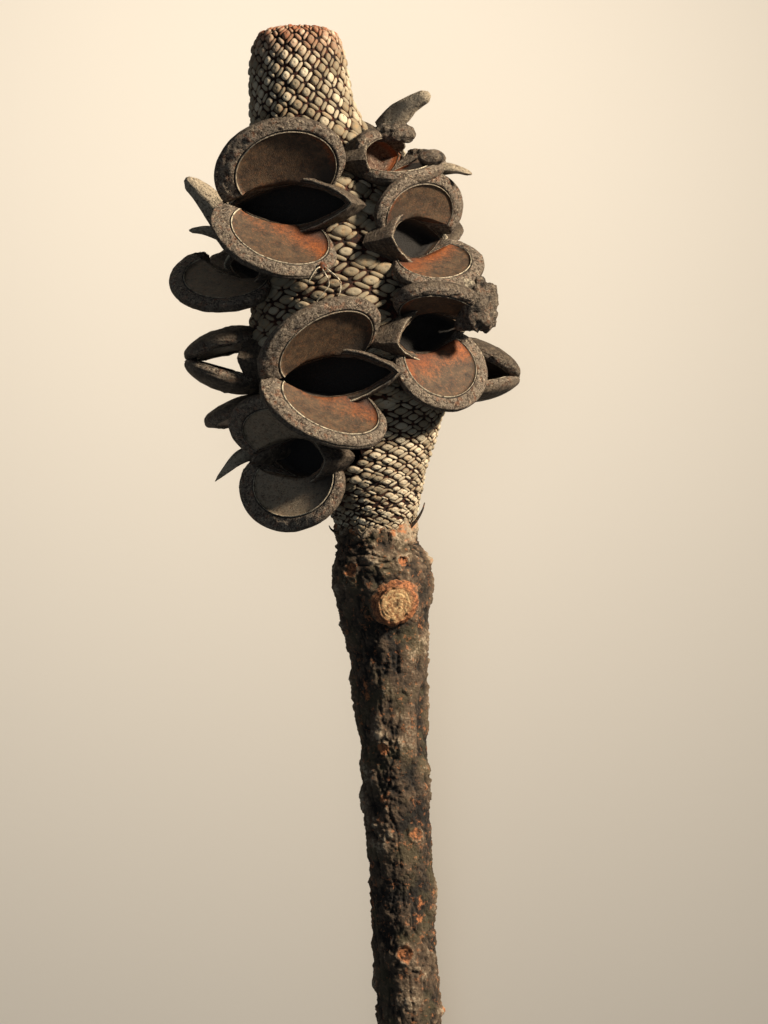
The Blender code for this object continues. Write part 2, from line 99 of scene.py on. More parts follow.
def linked(name: str, data: bpy.types.ID) -> bpy.types.Object:
    """Makes an object and puts it in the scene.

    Args:
        name: The object's name.
        data: Its mesh, light or camera.

    Returns:
        The object.
    """
    obj = bpy.data.objects.new(name, data)
    bpy.context.scene.collection.objects.link(obj)
    return obj


def hashed(places: Array, seed: int) -> Array:
    """Gives each whole-number place a fixed random value.

    Args:
        places: Whole-number places, (..., 3).
        seed: Which set of values.

    Returns:
        Values from 0 to 1, (...).
    """
    c = places.astype(np.int64)
    h = (c[..., 0] * 73856093) ^ (c[..., 1] * 19349663) ^ (c[..., 2] * 83492791) ^ (seed * 2654435761)
    h = (h ^ (h >> 13)) * 1274126177 & 0xFFFFFFFF
    h = (h ^ (h >> 16)) * 2246822519 & 0xFFFFFFFF
    return ((h ^ (h >> 15)) & 0xFFFFFF) / float(0xFFFFFF)


def cloud(points: Array, size: float, seed: int, octaves: int = 2) -> Array:
    """Smooth value noise.

    Args:
        points: Places in millimetres, (..., 3).
        size: Width of the largest blotches, mm.
        seed: Which noise.
        octaves: How many finer layers are added.

    Returns:
        Values from about -1 to 1, (...).
    """
    total = np.zeros(points.shape[:-1])
    weight = 1.0
    for octave in range(octaves):
        p = points / size * 2 ** octave
        base = np.floor(p)
        f = p - base
        f = f * f * (3 - 2 * f)
        value = np.zeros(points.shape[:-1])
        for corner in range(8):
            step = np.array([corner & 1, corner >> 1 & 1, corner >> 2 & 1])
            part = np.prod(np.where(step, f, 1 - f), axis=-1)
            value += part * hashed(base + step, seed + octave)
        total += weight * (value * 2 - 1)
        weight *= 0.5
    return total


def cells(points: Array, size: float, seed: int) -> tuple[Array, Array, Array]:
    """Cellular noise, for warts and pits.

    Args:
        points: Places in millimetres, (..., 3).
        size: Spacing of the cells, mm.
        seed: Which noise.

    Returns:
        Distance to the nearest cell's middle, the gap to the second nearest, and the cell's own value.
    """
    p = points / size
    base = np.floor(p)
    near = np.full(p.shape[:-1], 9.0)
    second = np.full(p.shape[:-1], 9.0)
    own = np.zeros(p.shape[:-1])
    for dx in (-1, 0, 1):
        for dy in (-1, 0, 1):
            for dz in (-1, 0, 1):
                cell = base + np.array([dx, dy, dz])
                spot = np.stack([hashed(cell, seed + k) for k in range(3)], axis=-1)
                away = np.linalg.norm(cell + spot - p, axis=-1)
                closer = away < near
                second = np.where(closer, near, np.minimum(second, away))
                own = np.where(closer, hashed(cell, seed + 7), own)
                near = np.where(closer, away, near)
    return near, second - near, own


def smooth(low: float, high: float, value: Array) -> Array:
    """An even step from 0 at low to 1 at high."""
    t = np.clip((value - low) / (high - low), 0.0, 1.0)
    return t * t * (3 - 2 * t)


def spun(vector: Array, axis: Array, degrees: float) -> Array:
    """Turns a vector about an axis.

    Args:
        vector: The vector, (3,).
        axis: The axis, of any length, (3,).
        degrees: How far it is turned.

    Returns:
        The turned vector, (3,).
    """
    a = math.radians(degrees)
    k = axis / np.linalg.norm(axis)
    return vector * math.cos(a) + np.cross(k, vector) * math.sin(a) + k * (k @ vector) * (1 - math.cos(a))


def eased(stations: tuple[tuple[float, ...], ...], column: int, blur: float = 1.6) -> tuple[Array, Array]:
    """Rounds off a row of stations.

    Args:
        stations: Places from high to low along Y.
        column: Which value to read.
        blur: How wide a stretch is averaged, mm.

    Returns:
        Places along Y, rising, and the value at each.
    """
    ys = np.array([row[0] for row in stations])[::-1]
    vs = np.array([row[column] for row in stations])[::-1]
    fine = np.linspace(ys[0], ys[-1], 900)
    value = np.interp(fine, ys, vs)
    reach = int(3 * blur / (fine[1] - fine[0]))
    kernel = np.exp(-0.5 * (np.arange(-reach, reach + 1) * (fine[1] - fine[0]) / blur) ** 2)
    before, after = 2 * value[0] - value[reach:0:-1], 2 * value[-1] - value[-2:-reach - 2:-1]
    padded = np.concatenate([before, value, after])
    return fine, np.convolve(padded, kernel / kernel.sum(), mode="valid")


def settled(points: Array) -> Array:
    """Tips and moves points to how the cone lies, and lifts what would sink into the table.

    Args:
        points: Places in millimetres, (..., 3).

    Returns:
        Places in metres, (..., 3).
    """
    a = math.radians(TILT)
    turn = np.array([[1, 0, 0], [0, math.cos(a), -math.sin(a)], [0, math.sin(a), math.cos(a)]])
    moved = (points @ turn.T + np.array(SHIFT)) * 0.001
    moved[..., 2] = np.maximum(moved[..., 2], 0.0)
    return moved


@dataclass
class Skin:
    """A mesh in the making: points in millimetres, faces, and a named value for each point."""

    points: list[Array] = field(default_factory=list)
    faces: list[tuple[int, ...]] = field(default_factory=list)
    values: dict[str, list[Array]] = field(default_factory=dict)
    count: int = 0

    def add(self, points: Array, faces: list[tuple[int, ...]], **values: Array | float) -> None:
        """Adds loose points and their faces.

        Args:
            points: Places, (n, 3).
            faces: Corner numbers, counted from these points.
            **values: One value for each point, or one for all.
        """
        start = self.count
        size = len(points)
        for name in set(values) | set(self.values):
            held = self.values.setdefault(name, [np.zeros(start)] if start else [])
            held.append(np.broadcast_to(np.asarray(values.get(name, 0.0), float), (size,)).copy())
        self.points.append(points)
        self.faces += [tuple(k + start for k in face) for face in faces]
        self.count += size

    def loft(self, rings: Array, start: Array | None = None, end: Array | None = None,
             **values: Array) -> None:
        """Skins a row of closed rings, with a middle point at either end where one is given.

        Args:
            rings: Places, (rings, points, 3).
            start: Point that closes the first ring.
            end: Point that closes the last ring.
            **values: Values for each point of each ring, (rings, points) or (rings, 1).
        """
        rows, n = rings.shape[:2]
        i = np.arange(n)
        k = (i + 1) % n
        faces: list[tuple[int, ...]] = []
        for j in range(rows - 1):
            faces += zip((j * n + i).tolist(), (j * n + k).tolist(),
                         ((j + 1) * n + k).tolist(), ((j + 1) * n + i).tolist())
        points = [rings.reshape(-1, 3)]
        ends = []
        if start is not None:
            faces += [(b, a, rows * n) for a, b in zip(i.tolist(), k.tolist())]
            points.append(start.reshape(1, 3))
            ends.append(0)
        if end is not None:
            last = (rows - 1) * n
            middle = rows * n + len(ends)
            faces += [(last + a, last + b, middle) for a, b in zip(i.tolist(), k.tolist())]
            points.append(end.reshape(1, 3))
            ends.append(rows - 1)
        full = {}
        for name, value in values.items():
            spread = np.broadcast_to(np.asarray(value, float), (rows, n))
            full[name] = np.concatenate([spread.reshape(-1)] + [[spread[row].mean()] for row in ends])
        self.add(np.concatenate(points), faces, **full)

    def build(self, name: str, outward: bool = True) -> bpy.types.Object:
        """Makes the object, where it lies on the table.

        Args:
            name: The object's name.
            outward: Whether the faces are turned to point outwards.

        Returns:
            The mesh object, with one point attribute for each named value.
        """
        mesh = bpy.data.meshes.new(name)
        mesh.from_pydata(settled(np.concatenate(self.points)).tolist(), [], self.faces)
        for key, parts in self.values.items():
            layer = mesh.attributes.new(key, "FLOAT", "POINT")
            layer.data.foreach_set("value", np.concatenate(parts).astype(np.float32))
        mesh.update()
        obj = linked(name, mesh)
        if outward:
            bm = bmesh.new()
            bm.from_mesh(mesh)
            bmesh.ops.recalc_face_normals(bm, faces=bm.faces)
            bm.to_mesh(mesh)
            bm.free()
        mesh.shade_smooth()
        return obj


# ---- Shader nodes


class Wire:
    """A number inside a shader; arithmetic on it adds Math nodes."""

    def __init__(self, bench: "Bench", socket: bpy.types.NodeSocket) -> None:
        """Holds the socket and the bench that it is on."""
        self.bench = bench
        self.socket = socket

    def maths(self, operation: str, *others: "Wire | float") -> "Wire":
        """Adds a Math node.

        Args:
            operation: The node's operation.
            *others: Its further inputs.

        Returns:
            The node's result.
        """
        node = self.bench.tree.nodes.new("ShaderNodeMath")
        node.operation = operation
        for slot, value in zip(node.inputs, (self, *others)):
            self.bench.feed(slot, value)
        return Wire(self.bench, node.outputs[0])

    def __add__(self, other: "Wire | float") -> "Wire":
        """Sum."""
        return self.maths("ADD", other)

    __radd__ = __add__

    def __mul__(self, other: "Wire | float") -> "Wire":
        """Product."""
        return self.maths("MULTIPLY", other)

    __rmul__ = __mul__

    def __sub__(self, other: "Wire | float") -> "Wire":
        """Difference."""
        return self.maths("SUBTRACT", other)

    def __rsub__(self, other: float) -> "Wire":
        """Difference, from a number."""
        return self.maths("MULTIPLY", -1.0).maths("ADD", other)

    def step(self, low: float, high: float) -> "Wire":
        """Adds an even step.

        Args:
            low: Where it is still 0.
            high: Where it has come to 1.

        Returns:
            The stepped value.
        """
        node = self.bench.node("ShaderNodeMapRange", {"interpolation_type": "SMOOTHSTEP"},
                               {"Value": self, "From Min": low, "From Max": high})
        return Wire(self.bench, node.outputs[0])


class Bench:
    """One material's node tree, and the short calls that fill it."""

    def __init__(self, name: str) -> None:
        """Starts a material.

        Args:
            name: The material's name.
        """
        self.material = bpy.data.materials.new(name)
        self.material.use_nodes = True
        self.tree = self.material.node_tree
        self.shader = self.tree.nodes["Principled BSDF"]
        coordinates = self.node("ShaderNodeTexCoord", {}, {})
        self.place = self.node("ShaderNodeVectorMath", {"operation": "SCALE"},
                               {"Vector": coordinates.outputs["Object"], "Scale": 1000.0}).outputs[0]

    def feed(self, socket: bpy.types.NodeSocket, value: object) -> None:
        """Sets a socket's value, or links it.

        Args:
            socket: The input.
            value: A wire, a socket or a plain value.
        """
        if isinstance(value, Wire):
            value = value.socket
        if isinstance(value, bpy.types.NodeSocket):
            self.tree.links.new(value, socket)
        else:
            socket.default_value = value

    def node(self, kind: str, settings: dict[str, object], inputs: dict[str, object]) -> bpy.types.Node:
        """Adds a node.

        Args:
            kind: The node's type.
            settings: Its own settings, which are set first.
            inputs: What its sockets get, by name or identifier.

        Returns:
            The node.
        """
        node = self.tree.nodes.new(kind)
        for key, value in settings.items():
            setattr(node, key, value)
        for key, value in inputs.items():
            match = [s for s in node.inputs if s.identifier == key]
            match += [s for s in node.inputs if s.name == key]
            self.feed(match[0], value)
        return node

    def value(self, name: str) -> Wire:
        """One of the mesh's named values."""
        node = self.node("ShaderNodeAttribute", {"attribute_name": name}, {})
        return Wire(self, node.outputs["Fac"])

    def noise(self, size: float, detail: float = 2.0, rough: float = 0.55) -> Wire:
        """Noise in blotches of a size in millimetres.

        Args:
            size: Width of a blotch, mm.
            detail: How many finer layers it has.
            rough: How strong they are.

        Returns:
            Values round 0.5.
        """
        node = self.node("ShaderNodeTexNoise", {}, {
            "Vector": self.place, "Scale": 1.0 / size, "Detail": detail, "Roughness": rough})
        return Wire(self, node.outputs[0])

    def spots(self, size: float) -> Wire:
        """Distance to the nearest of the specks that lie a size in millimetres apart."""
        node = self.node("ShaderNodeTexVoronoi", {}, {"Vector": self.place, "Scale": 1.0 / size})
        return Wire(self, node.outputs["Distance"])

    def mix(self, factor: Wire | float, first: object, second: object) -> bpy.types.NodeSocket:
        """Mixes two colours.

        Args:
            factor: 0 for the first, 1 for the second.
            first: A colour or a colour socket.
            second: A colour or a colour socket.

        Returns:
            The mixed colour's socket.
        """
        node = self.node("ShaderNodeMix", {"data_type": "RGBA", "clamp_factor": True},
                         {"Factor_Float": factor, "A_Color": first, "B_Color": second})
        return [s for s in node.outputs if s.identifier == "Result_Color"][0]

    def finish(self, colour: object, roughness: object, relief: Wire) -> bpy.types.Material:
        """Links what was made to the shader.

        Args:
            colour: Base colour.
            roughness: A number or a wire.
            relief: Height of the fine relief, mm.

        Returns:
            The material.
        """
        bump = self.node("ShaderNodeBump", {}, {"Height": relief, "Distance": 0.001, "Strength": 1.0})
        self.feed(self.shader.inputs["Base Color"], colour)
        self.feed(self.shader.inputs["Roughness"], roughness)
        self.feed(self.shader.inputs["Normal"], bump.outputs[0])
        self.shader.inputs["Specular IOR Level"].default_value = 0.35
        return self.material


@dataclass(frozen=True)
class BractFinish:
    """The bracts: pale and chalky on their crowns, brown and reddish where they meet; the brown towards each
    edge is partly painted shade, and the near black in the crevices at their feet is painted shade.
    """

    pale: str = "bcb096"
    grey: str = "786d58"
    warm: str = "9c7e58"
    dark: str = "6b4a2f"
    deep: str = "2a190f"
    worn: str = "8a4526"

    def material(self) -> bpy.types.Material:
        """Builds the finish.

        Returns:
            The material.
        """
        b = Bench("bract_scales")
        crown = b.value("crown")
        tint_and_shade = b.value("tint_and_shade")
        worn = b.value("worn")
        blotch = b.noise(1.6, 3)
        # Random tone from grey to pale, which also holds the painted shade of the middle of the cone.
        colour = b.mix(tint_and_shade.step(0.0, 1.0), tone(self.grey), tone(self.pale))
        colour = b.mix((blotch.step(0.45, 0.75)) * 0.5, colour, tone(self.warm))
        colour = b.mix(worn * b.noise(1.1, 3).step(0.3, 0.6), colour, tone(self.worn))
        # Browner towards each scale's edge, partly as painted shade on the dome.
        colour = b.mix((1 - (crown + blotch * 0.3).step(0.25, 0.75)) * 0.8, colour, tone(self.dark))
        # Painted shade: near black in the crevices at each scale's foot and in the dip at a large scale's
        # middle.
        colour = b.mix(1 - crown.step(0.0, 0.22), colour, tone(self.deep))
        speck = (1 - b.spots(1.9).step(0.06, 0.17)) * 0.85
        colour = b.mix(speck, colour, tone(self.dark))
        relief = b.noise(0.5, 4) * 0.12 + b.noise(0.16, 2) * 0.05
        return b.finish(colour, 0.86, relief)


@dataclass(frozen=True)
class CoreFinish:
    """What shows between the bracts: dark brown felt with reddish threads."""

    dark: str = "1a100a"
    red: str = "45200f"

    def material(self) -> bpy.types.Material:
        """Builds the finish.

        Returns:
            The material.
        """
        b = Bench("cone_felt")
        colour = b.mix(b.noise(1.2, 4).step(0.42, 0.72), tone(self.dark), tone(self.red))
        return b.finish(colour, 0.95, b.noise(0.35, 3) * 0.25)


@dataclass(frozen=True)
class BarkFinish:
    """The bark: dark grey-brown warts, pale on their tops as painted highlight and darker in their crevices
    as painted shade, with orange-brown where it has flaked.
    """

    dark: str = "16120d"
    brown: str = "5a4a39"
    pale: str = "a3937a"
    rust: str = "ae6f44"
    rust_dark: str = "5e3620"
    moss: str = "4a432e"
    cut: str = "c2a374"
    cut_dark: str = "8a5f3c"
    rings: str = "5b3a1e"

    def material(self) -> bpy.types.Material:
        """Builds the finish.

        Returns:
            The material.
        """
        b = Bench("bark")
        high = b.value("high")
        rust = b.value("rust")
        fine = b.noise(0.7, 4, 0.65)
        # Darker in the low places: painted shade in the crevices.
        colour = b.mix((high + fine * 0.5 - 0.25).step(0.05, 0.6), tone(self.dark), tone(self.brown))
        colour = b.mix(b.noise(7.0, 3).step(0.48, 0.66) * 0.6, colour, tone(self.moss))
        # Painted highlight: pale on the tops of the warts.
        colour = b.mix((high + fine * 1.3 - 0.65).step(0.5, 0.95) * 0.8, colour, tone(self.pale))
        colour = b.mix(b.noise(1.5, 5, 0.75).step(0.56, 0.66) * 0.55, colour, tone(self.rust))
        torn = b.noise(1.6, 4, 0.7)
        flake = b.mix((fine + torn - 0.5).step(0.35, 0.62), tone(self.rust_dark), tone(self.rust))
        colour = b.mix((rust * 1.1 + torn * 1.9 + fine * 0.5 - 1.55).step(0.1, 0.6) * 0.85, colour, flake)
        cut = b.mix(b.noise(0.9, 5, 0.7).step(0.4, 0.62), tone(self.cut), tone(self.cut_dark))
        colour = b.mix(b.value("heart"), colour, cut)
        colour = b.mix(b.value("ring") * b.noise(1.2, 3).step(0.3, 0.55) * 0.8, colour, tone(self.rings))
        relief = fine * 0.5 + b.noise(0.22, 3) * 0.2
        return b.finish(colour, 0.88, relief)


@dataclass(frozen=True)
class FruitFinish:
    """The follicles' wood: rough grey lip, smooth brown lining with rust, a mouth darkened with painted
    shade, felted back.
    """

    lip: str = "786c5d"
    lip_dark: str = "372b20"
    lip_pale: str = "b5a58b"
    lining: str = "2a2017"
    lining_grey: str = "5f4c37"
    rust: str = "9c5524"
    rust_deep: str = "5e2c0d"
    line: str = "f0e2c2"
    back: str = "3a3025"
    back_pale: str = "6a5c4a"
    cavity: str = "24211d"

    def material(self) -> bpy.types.Material:
        """Builds the finish.

        Returns:
            The material.
        """
        b = Bench("follicle_wood")
        lining = b.value("lining")
        back = b.value("back")
        grain = b.noise(0.45, 4, 0.65)
        blotch = b.noise(2.6, 3, 0.6)
        coarse = b.noise(1.1, 5, 0.7)
        lip = b.mix((grain + coarse - 0.5).step(0.34, 0.6), tone(self.lip_dark), tone(self.lip))
        lip = b.mix(b.noise(0.7, 4, 0.75).step(0.54, 0.66) * 0.85, lip, tone(self.lip_pale))
        lip = b.mix(b.noise(1.9, 4, 0.7).step(0.53, 0.64) * 0.22, lip, tone(self.rust))
        felt = b.mix(b.noise(1.3, 5, 0.7).step(0.4, 0.7), tone(self.back), tone(self.back_pale))
        grit = b.noise(0.38, 3, 0.75)
        mottle = b.noise(1.0, 4, 0.75)
        inside = b.mix((blotch * 0.9 + mottle * 0.7 + grit * 0.5 - 0.55).step(0.12, 0.88), tone(self.lining),
                       tone(self.lining_grey))
        inside = b.mix((mottle + grit - 0.5).step(0.5, 0.75) * 0.2, inside, tone(self.rust))
        bloom = b.mix((mottle + grit - 0.5).step(0.2, 0.8), tone(self.rust_deep), tone(self.rust))
        rusty = b.value("rust") * 1.35 + grit * 0.5 + mottle * 0.7 + blotch * 0.3 - 1.05
        inside = b.mix(rusty.step(0.0, 0.95) * 0.9, inside, bloom)
        colour = b.mix(back, lip, felt)
        colour = b.mix(lining, colour, inside)
        colour = b.mix(b.value("pale") * b.noise(1.3, 3, 0.7).step(0.36, 0.56), colour, tone(self.line))
        # Pale where the wood has bleached, and painted light that lifts linings lying in shade.
        colour = b.mix(b.value("bleach") * (coarse + grain).step(0.7, 1.1), colour, tone(self.lip_pale))
        # Painted shade: near black in the cracks.
        colour = b.mix(b.value("crack"), colour, tone(self.cavity))
        # Painted shade: near black down in the mouth.
        colour = b.mix(b.value("cavity"), colour, tone(self.cavity))
        rough = lining * -0.22 + 0.85
        relief = (grain * 0.7 + coarse * 0.8) * (1 - lining * 0.82) + b.noise(0.18, 2) * 0.16
        return b.finish(colour, rough, relief)


# ---- The cone


@dataclass(frozen=True)
class Lump:
    """A crumbling lump of wood: its middle, its half sizes, and its colours."""

    middle: tuple[float, float, float]
    size: tuple[float, float, float]
    seed: int
    rough: float = 0.3
    rust: float = 0.0
    pale: float = 0.0
    rows: int = 32

    def add_to(self, skin: Skin) -> None:
        """Adds the lump to a skin.

        Args:
            skin: What it is added to.
        """
        down = np.linspace(0, math.pi, self.rows + 2)[1:-1, None]
        turn = np.linspace(0, 2 * math.pi, self.rows * 2, endpoint=False)[None, :]
        ball = np.stack([np.sin(down) * np.cos(turn), np.cos(down) + 0 * turn,
                         np.sin(down) * np.sin(turn)], axis=-1)
        poles = np.array([[0.0, 1.0, 0.0], [0.0, -1.0, 0.0]])
        size, middle = np.array(self.size), np.array(self.middle)

        def crumbled(unit: Array) -> Array:
            """Roughens the ball.

            Args:
                unit: Points of a ball of radius 1, (..., 3).

            Returns:
                The lump's points, mm.
            """
            place = unit * size
            near, _, own = cells(place, 1.5, self.seed)
            bump = self.rough * (0.8 * cloud(place, 3.4, self.seed + 1, 3) + 0.35 * (0.5 - near)) - 0.10 * own
            return middle + place * (1 + bump[..., None])

        # The pits between the lump's warts are darkened with painted shade.
        pit = smooth(0.5, 0.85, cells(ball * size, 1.5, self.seed)[0])
        skin.loft(crumbled(ball), crumbled(poles[:1])[0], crumbled(poles[1:])[0], crack=0.8 * pit,
                  back=0.35 + 0 * pit, rust=self.rust + 0 * pit, pale=self.pale * (1 - pit),
                  lining=(self.rust > 0) + 0 * pit, cavity=0 * pit)


@dataclass(frozen=True)
class Thread:
    """A thread or hook along a curve of points, thinner towards its end."""

    path: tuple[tuple[float, float, float], ...]
    radius: float = 0.17
    end: float = 0.5
    pale: float = 0.8
    extra: str = "pale"

    def add_to(self, skin: Skin) -> None:
        """Adds the thread to a skin.

        Args:
            skin: What it is added to.
        """
        knots = np.array(self.path)
        t = np.linspace(0, len(knots) - 1, 10 * (len(knots) - 1) + 1)
        ends = np.concatenate([[2 * knots[0] - knots[1]], knots, [2 * knots[-1] - knots[-2]]])
        k = np.minimum(t.astype(int), len(knots) - 2)
        f = (t - k)[:, None]
        a, b, c, d = (ends[k + i] for i in range(4))
        line = 0.5 * (2 * b + (c - a) * f + (2 * a - 5 * b + 4 * c - d) * f ** 2
                      + (3 * b - a - 3 * c + d) * f ** 3)
        run = np.gradient(line, axis=0)
        run /= np.linalg.norm(run, axis=1)[:, None]
        side = np.cross(run, [0.31, 0.17, 0.94])
        side /= np.linalg.norm(side, axis=1)[:, None]
        other = np.cross(run, side)
        turn = np.linspace(0, 2 * math.pi, 8, endpoint=False)
        size = self.radius * np.linspace(1, self.end, len(line))[:, None, None]
        c, s = np.cos(turn)[:, None], np.sin(turn)[:, None]
        rings = line[:, None] + size * (c * side[:, None] + s * other[:, None])
        skin.loft(rings, line[0], line[-1], **{self.extra: np.full(rings.shape[:2], self.pale)})


class Side(Enum):
    """Which end of a follicle gapes."""

    LEFT = -1
    RIGHT = 1


@dataclass
class Follicle:
    """One woody fruit: a foot sunk in the cone, and two thick valves with a seed lining.

    `along` is the hinge's place along Y, `around` its angle from the seen side, `out` its height over
    the cone; `nod` leans it towards the tip and `roll` turns it. Angles are degrees, sizes mm.
    """

    name: str
    along: float
    around: float
    side: Side
    width: float
    length: float
    up: float
    down: float
    out: float = 2.5
    nod: float = 0.0
    roll: float = 0.0
    low_length: float = 1.0
    splay_up: float = 0.0
    splay_down: float = 0.0
    twist_up: float = 3.0
    twist_down: float = 3.0
    gape: float = 0.0
    curl: float = 1.2
    broken: float = 1.0
    warm_up: float = 0.5
    warm_down: float = 0.6
    mouth_rust: float = 0.0
    # Painted light on the valves' linings, for follicles whose linings lie in shade.
    painted_light: float = 0.0
    line_up: float = 0.4
    line_down: float = 1.0
    extras: tuple[Lump | Thread, ...] = ()
    spikes: tuple[tuple, ...] = ()
    points: int = 208

    def __post_init__(self) -> None:
        """Works out the follicle's own axes and the height of its foot."""
        cone = ConeShape.shared()
        middle, radius = cone.at(self.along)
        a = math.radians(self.around)
        radial = np.array([math.sin(a), 0.0, math.cos(a)])
        across = np.array([math.cos(a), 0.0, -math.sin(a)])
        self.n = spun(radial, across, -self.nod)
        upward = spun(np.array([0.0, 1.0, 0.0]), across, -self.nod)
        self.w = spun(across, self.n, self.roll)
        self.s = spun(upward, self.n, self.roll)
        self.origin = np.array([middle, self.along, 0.0]) + radial * (radius + self.out)
        self.foot_half = FOOT_HALF + abs(self.gape) * GAPE_SPREAD
        self.seed = int(self.name[-2:]) * 17

    def local(self, points: Array) -> Array:
        """Places across, along and out from the hinge's middle."""
        away = points - self.origin
        return np.stack([away @ self.w, away @ self.s, away @ self.n], axis=-1)

    def world(self, x: Array, y: Array, z: Array) -> Array:
        """Points from places across, along and out."""
        x, y, z = np.broadcast_arrays(x, y, z)
        return self.origin + x[..., None] * self.w + y[..., None] * self.s + z[..., None] * self.n

    @staticmethod
    def lens(x: Array, half: float, height: float) -> Array:
        """Half the height of a pointed oval at x."""
        u = np.clip(np.abs(x) / half, 0.0, 1.0)
        return height * (1.0 - u ** OVAL_FULL) ** OVAL_BLUNT

    def holds(self, points: Array, spare: float) -> Array:
        """Which points lie under the foot.

        Args:
            points: Places, (..., 3).
            spare: How far the edge is moved outwards, mm.

        Returns:
            True for each point under it.
        """
        p = self.local(points)
        half = self.width / 2 + FOOT_SPARE + spare
        height = self.foot_half + spare
        inside = np.abs(p[..., 1]) < self.lens(p[..., 0], half, height)
        return inside & (np.abs(p[..., 0]) < half) & (p[..., 2] > -9.0) & (p[..., 2] < 8.0)

    def nearness(self, points: Array) -> Array:
        """How close points on the cone lie to the foot.

        Args:
            points: Places, (..., 3).

        Returns:
            1 at the foot's edge, and 0 well away from it.
        """
        p = self.local(points)
        ratio = np.hypot(p[..., 0] / (self.width / 2 + FOOT_SPARE), p[..., 1] / self.foot_half)
        away = np.abs(ratio - 1.0) * FOOT_HALF
        return np.exp(-(away / 2.6) ** 2) * (np.abs(p[..., 2]) < 9.0)

    def covers(self, points: Array) -> Array:
        """Which points lie in a valve's wood or just inside its lining.

        Args:
            points: Places, (..., 3).

        Returns:
            True for each point that a valve covers.
        """
        found = np.zeros(points.shape[:-1], bool)
        for upper in (True, False):
            hinge, across, reach, face = self.axes(upper)
            away = points - hinge
            x, y, deep = away @ across, away @ reach, away @ face
            length = self.length * (self.broken if upper else self.low_length)
            middle = HEART * length
            tall = np.where(y > middle, length - middle, middle + ROOT)
            oval = np.hypot(x / (self.width / 2), (y - middle) / tall)
            back = RIM + 0.8 * BULGE * np.clip(1 - oval ** 2, 0, 1)
            found |= (oval < 1.04) & (deep > -3.0) & (deep < back)
        return found

    def axes(self, upper: bool) -> tuple[Array, Array, Array, Array]:
        """Works out how a valve stands.

        Args:
            upper: Whether it is the valve on the tip's side.

        Returns:
            Its hinge's middle, and its directions across, towards the lip and out through its back.
        """
        sign = 1 if upper else -1
        side = self.side.value
        splay = (self.splay_up if upper else self.splay_down) * sign * side
        across = spun(self.w, self.n, splay)
        along = spun(self.s, self.n, splay)
        hinge = self.origin + (across - self.w) * (side * self.width / 2) + self.s * (self.gape * sign)
        angle = (self.up if upper else self.down) * sign
        reach = spun(self.n, across, -angle)
        face = spun(along, across, -angle) * sign
        twist = (self.twist_up if upper else self.twist_down) * sign * side
        return hinge, spun(across, reach, twist), reach, spun(face, reach, twist)

    def valve(self, skin: Skin, upper: bool) -> None:
        """Adds one valve to the skin.

        Args:
            skin: What it is added to.
            upper: Whether it is the valve on the tip's side.
        """
        hinge, across, reach, face = self.axes(upper)
        torn = upper and self.broken < 1.0
        length = self.length * (self.broken if upper else self.low_length)
        half = self.width / 2 * (0.85 if torn else 1.0)
        middle = HEART * length
        top, low = length - middle, middle + ROOT
        side = self.side.value
        turn = np.linspace(0, 2 * math.pi, self.points, endpoint=False)
        c, s = np.cos(turn), np.sin(turn)
        seed = self.seed + (5 if upper else 0)
        ring = np.stack([c * 4.0, s * 4.0, np.full_like(c, seed)], axis=-1)
        edge = 1.0 + 0.016 * cloud(ring, 2.2, seed, 2) - 0.008
        if torn:
            edge = edge - 0.14 * np.abs(cloud(ring, 1.7, seed + 3, 2)) * smooth(-0.1, 0.5, s)
        out_x, out_y = half * c * edge, middle + np.where(s > 0, top, low) * s * edge
        far, near, free = 0.155 * self.width, 0.085 * self.width, min(3.0, 0.16 * length)
        mid_x = side * (far - near) / 2
        in_x = mid_x + (half - (far + near) / 2) * c
        in_y = middle + np.where(s > 0, top - free, low - 0.4) * s
        rows: list[tuple[Array, Array, Array, dict[str, float]]] = []

        def lay(x: Array, y: Array, depth: Array | float, **marks: float) -> None:
            """Notes one ring of the valve."""
            rows.append((x, y, np.broadcast_to(depth, x.shape).astype(float), marks))

        # The lining, from its middle out
        for t in (0.14, 0.28, 0.42, 0.55, 0.67, 0.77, 0.85, 0.91, 0.95):
            lay(mid_x + (in_x - mid_x) * t, middle + (in_y - middle) * t,
                0.3 + (HOLLOW - 0.3) * (1 - t ** 2.4), lining=1.0)
        # The pale line round it
        for t, depth, marks in ((0.968, 0.14, {"lining": 1.0}), (0.98, 0.0, {"lining": 0.6, "pale": 0.8}),
                                (0.99, -0.1, {"pale": 1.0}), (1.0, -0.04, {"pale": 1.0})):
            lay(mid_x + (in_x - mid_x) * t, middle + (in_y - middle) * t, depth, **marks)
        # The crack beside the line, which is equally wide all round, darkened with painted shade
        gap = np.hypot(out_x - in_x, out_y - in_y) + 1e-6
        for step, depth, marks in ((0.10, 0.3, {"crack": 1.0}), (0.22, 0.4, {"crack": 1.0}), (0.4, 0.04, {})):
            part = np.minimum(step / gap, 0.4)
            lay(in_x + (out_x - in_x) * part, in_y + (out_y - in_y) * part, depth, **marks)
        # The lip
        first = np.minimum(0.42 / gap, 0.45)
        for t in (0.1, 0.22, 0.34, 0.46, 0.58, 0.7, 0.8, 0.88, 0.94, 0.98):
            part = first + (1 - first) * t
            lay(in_x + (out_x - in_x) * part, in_y + (out_y - in_y) * part, 0.02 + 0.85 * t ** 2.4)
        # The edge, in layers
        for t, grow in ((0.46, 0.10), (0.55, 0.16), (0.63, 0.02), (0.74, 0.14), (0.87, 0.10)):
            lay(out_x + grow * c, out_y + grow * s, RIM * t, back=0.35 + 0.3 * t)
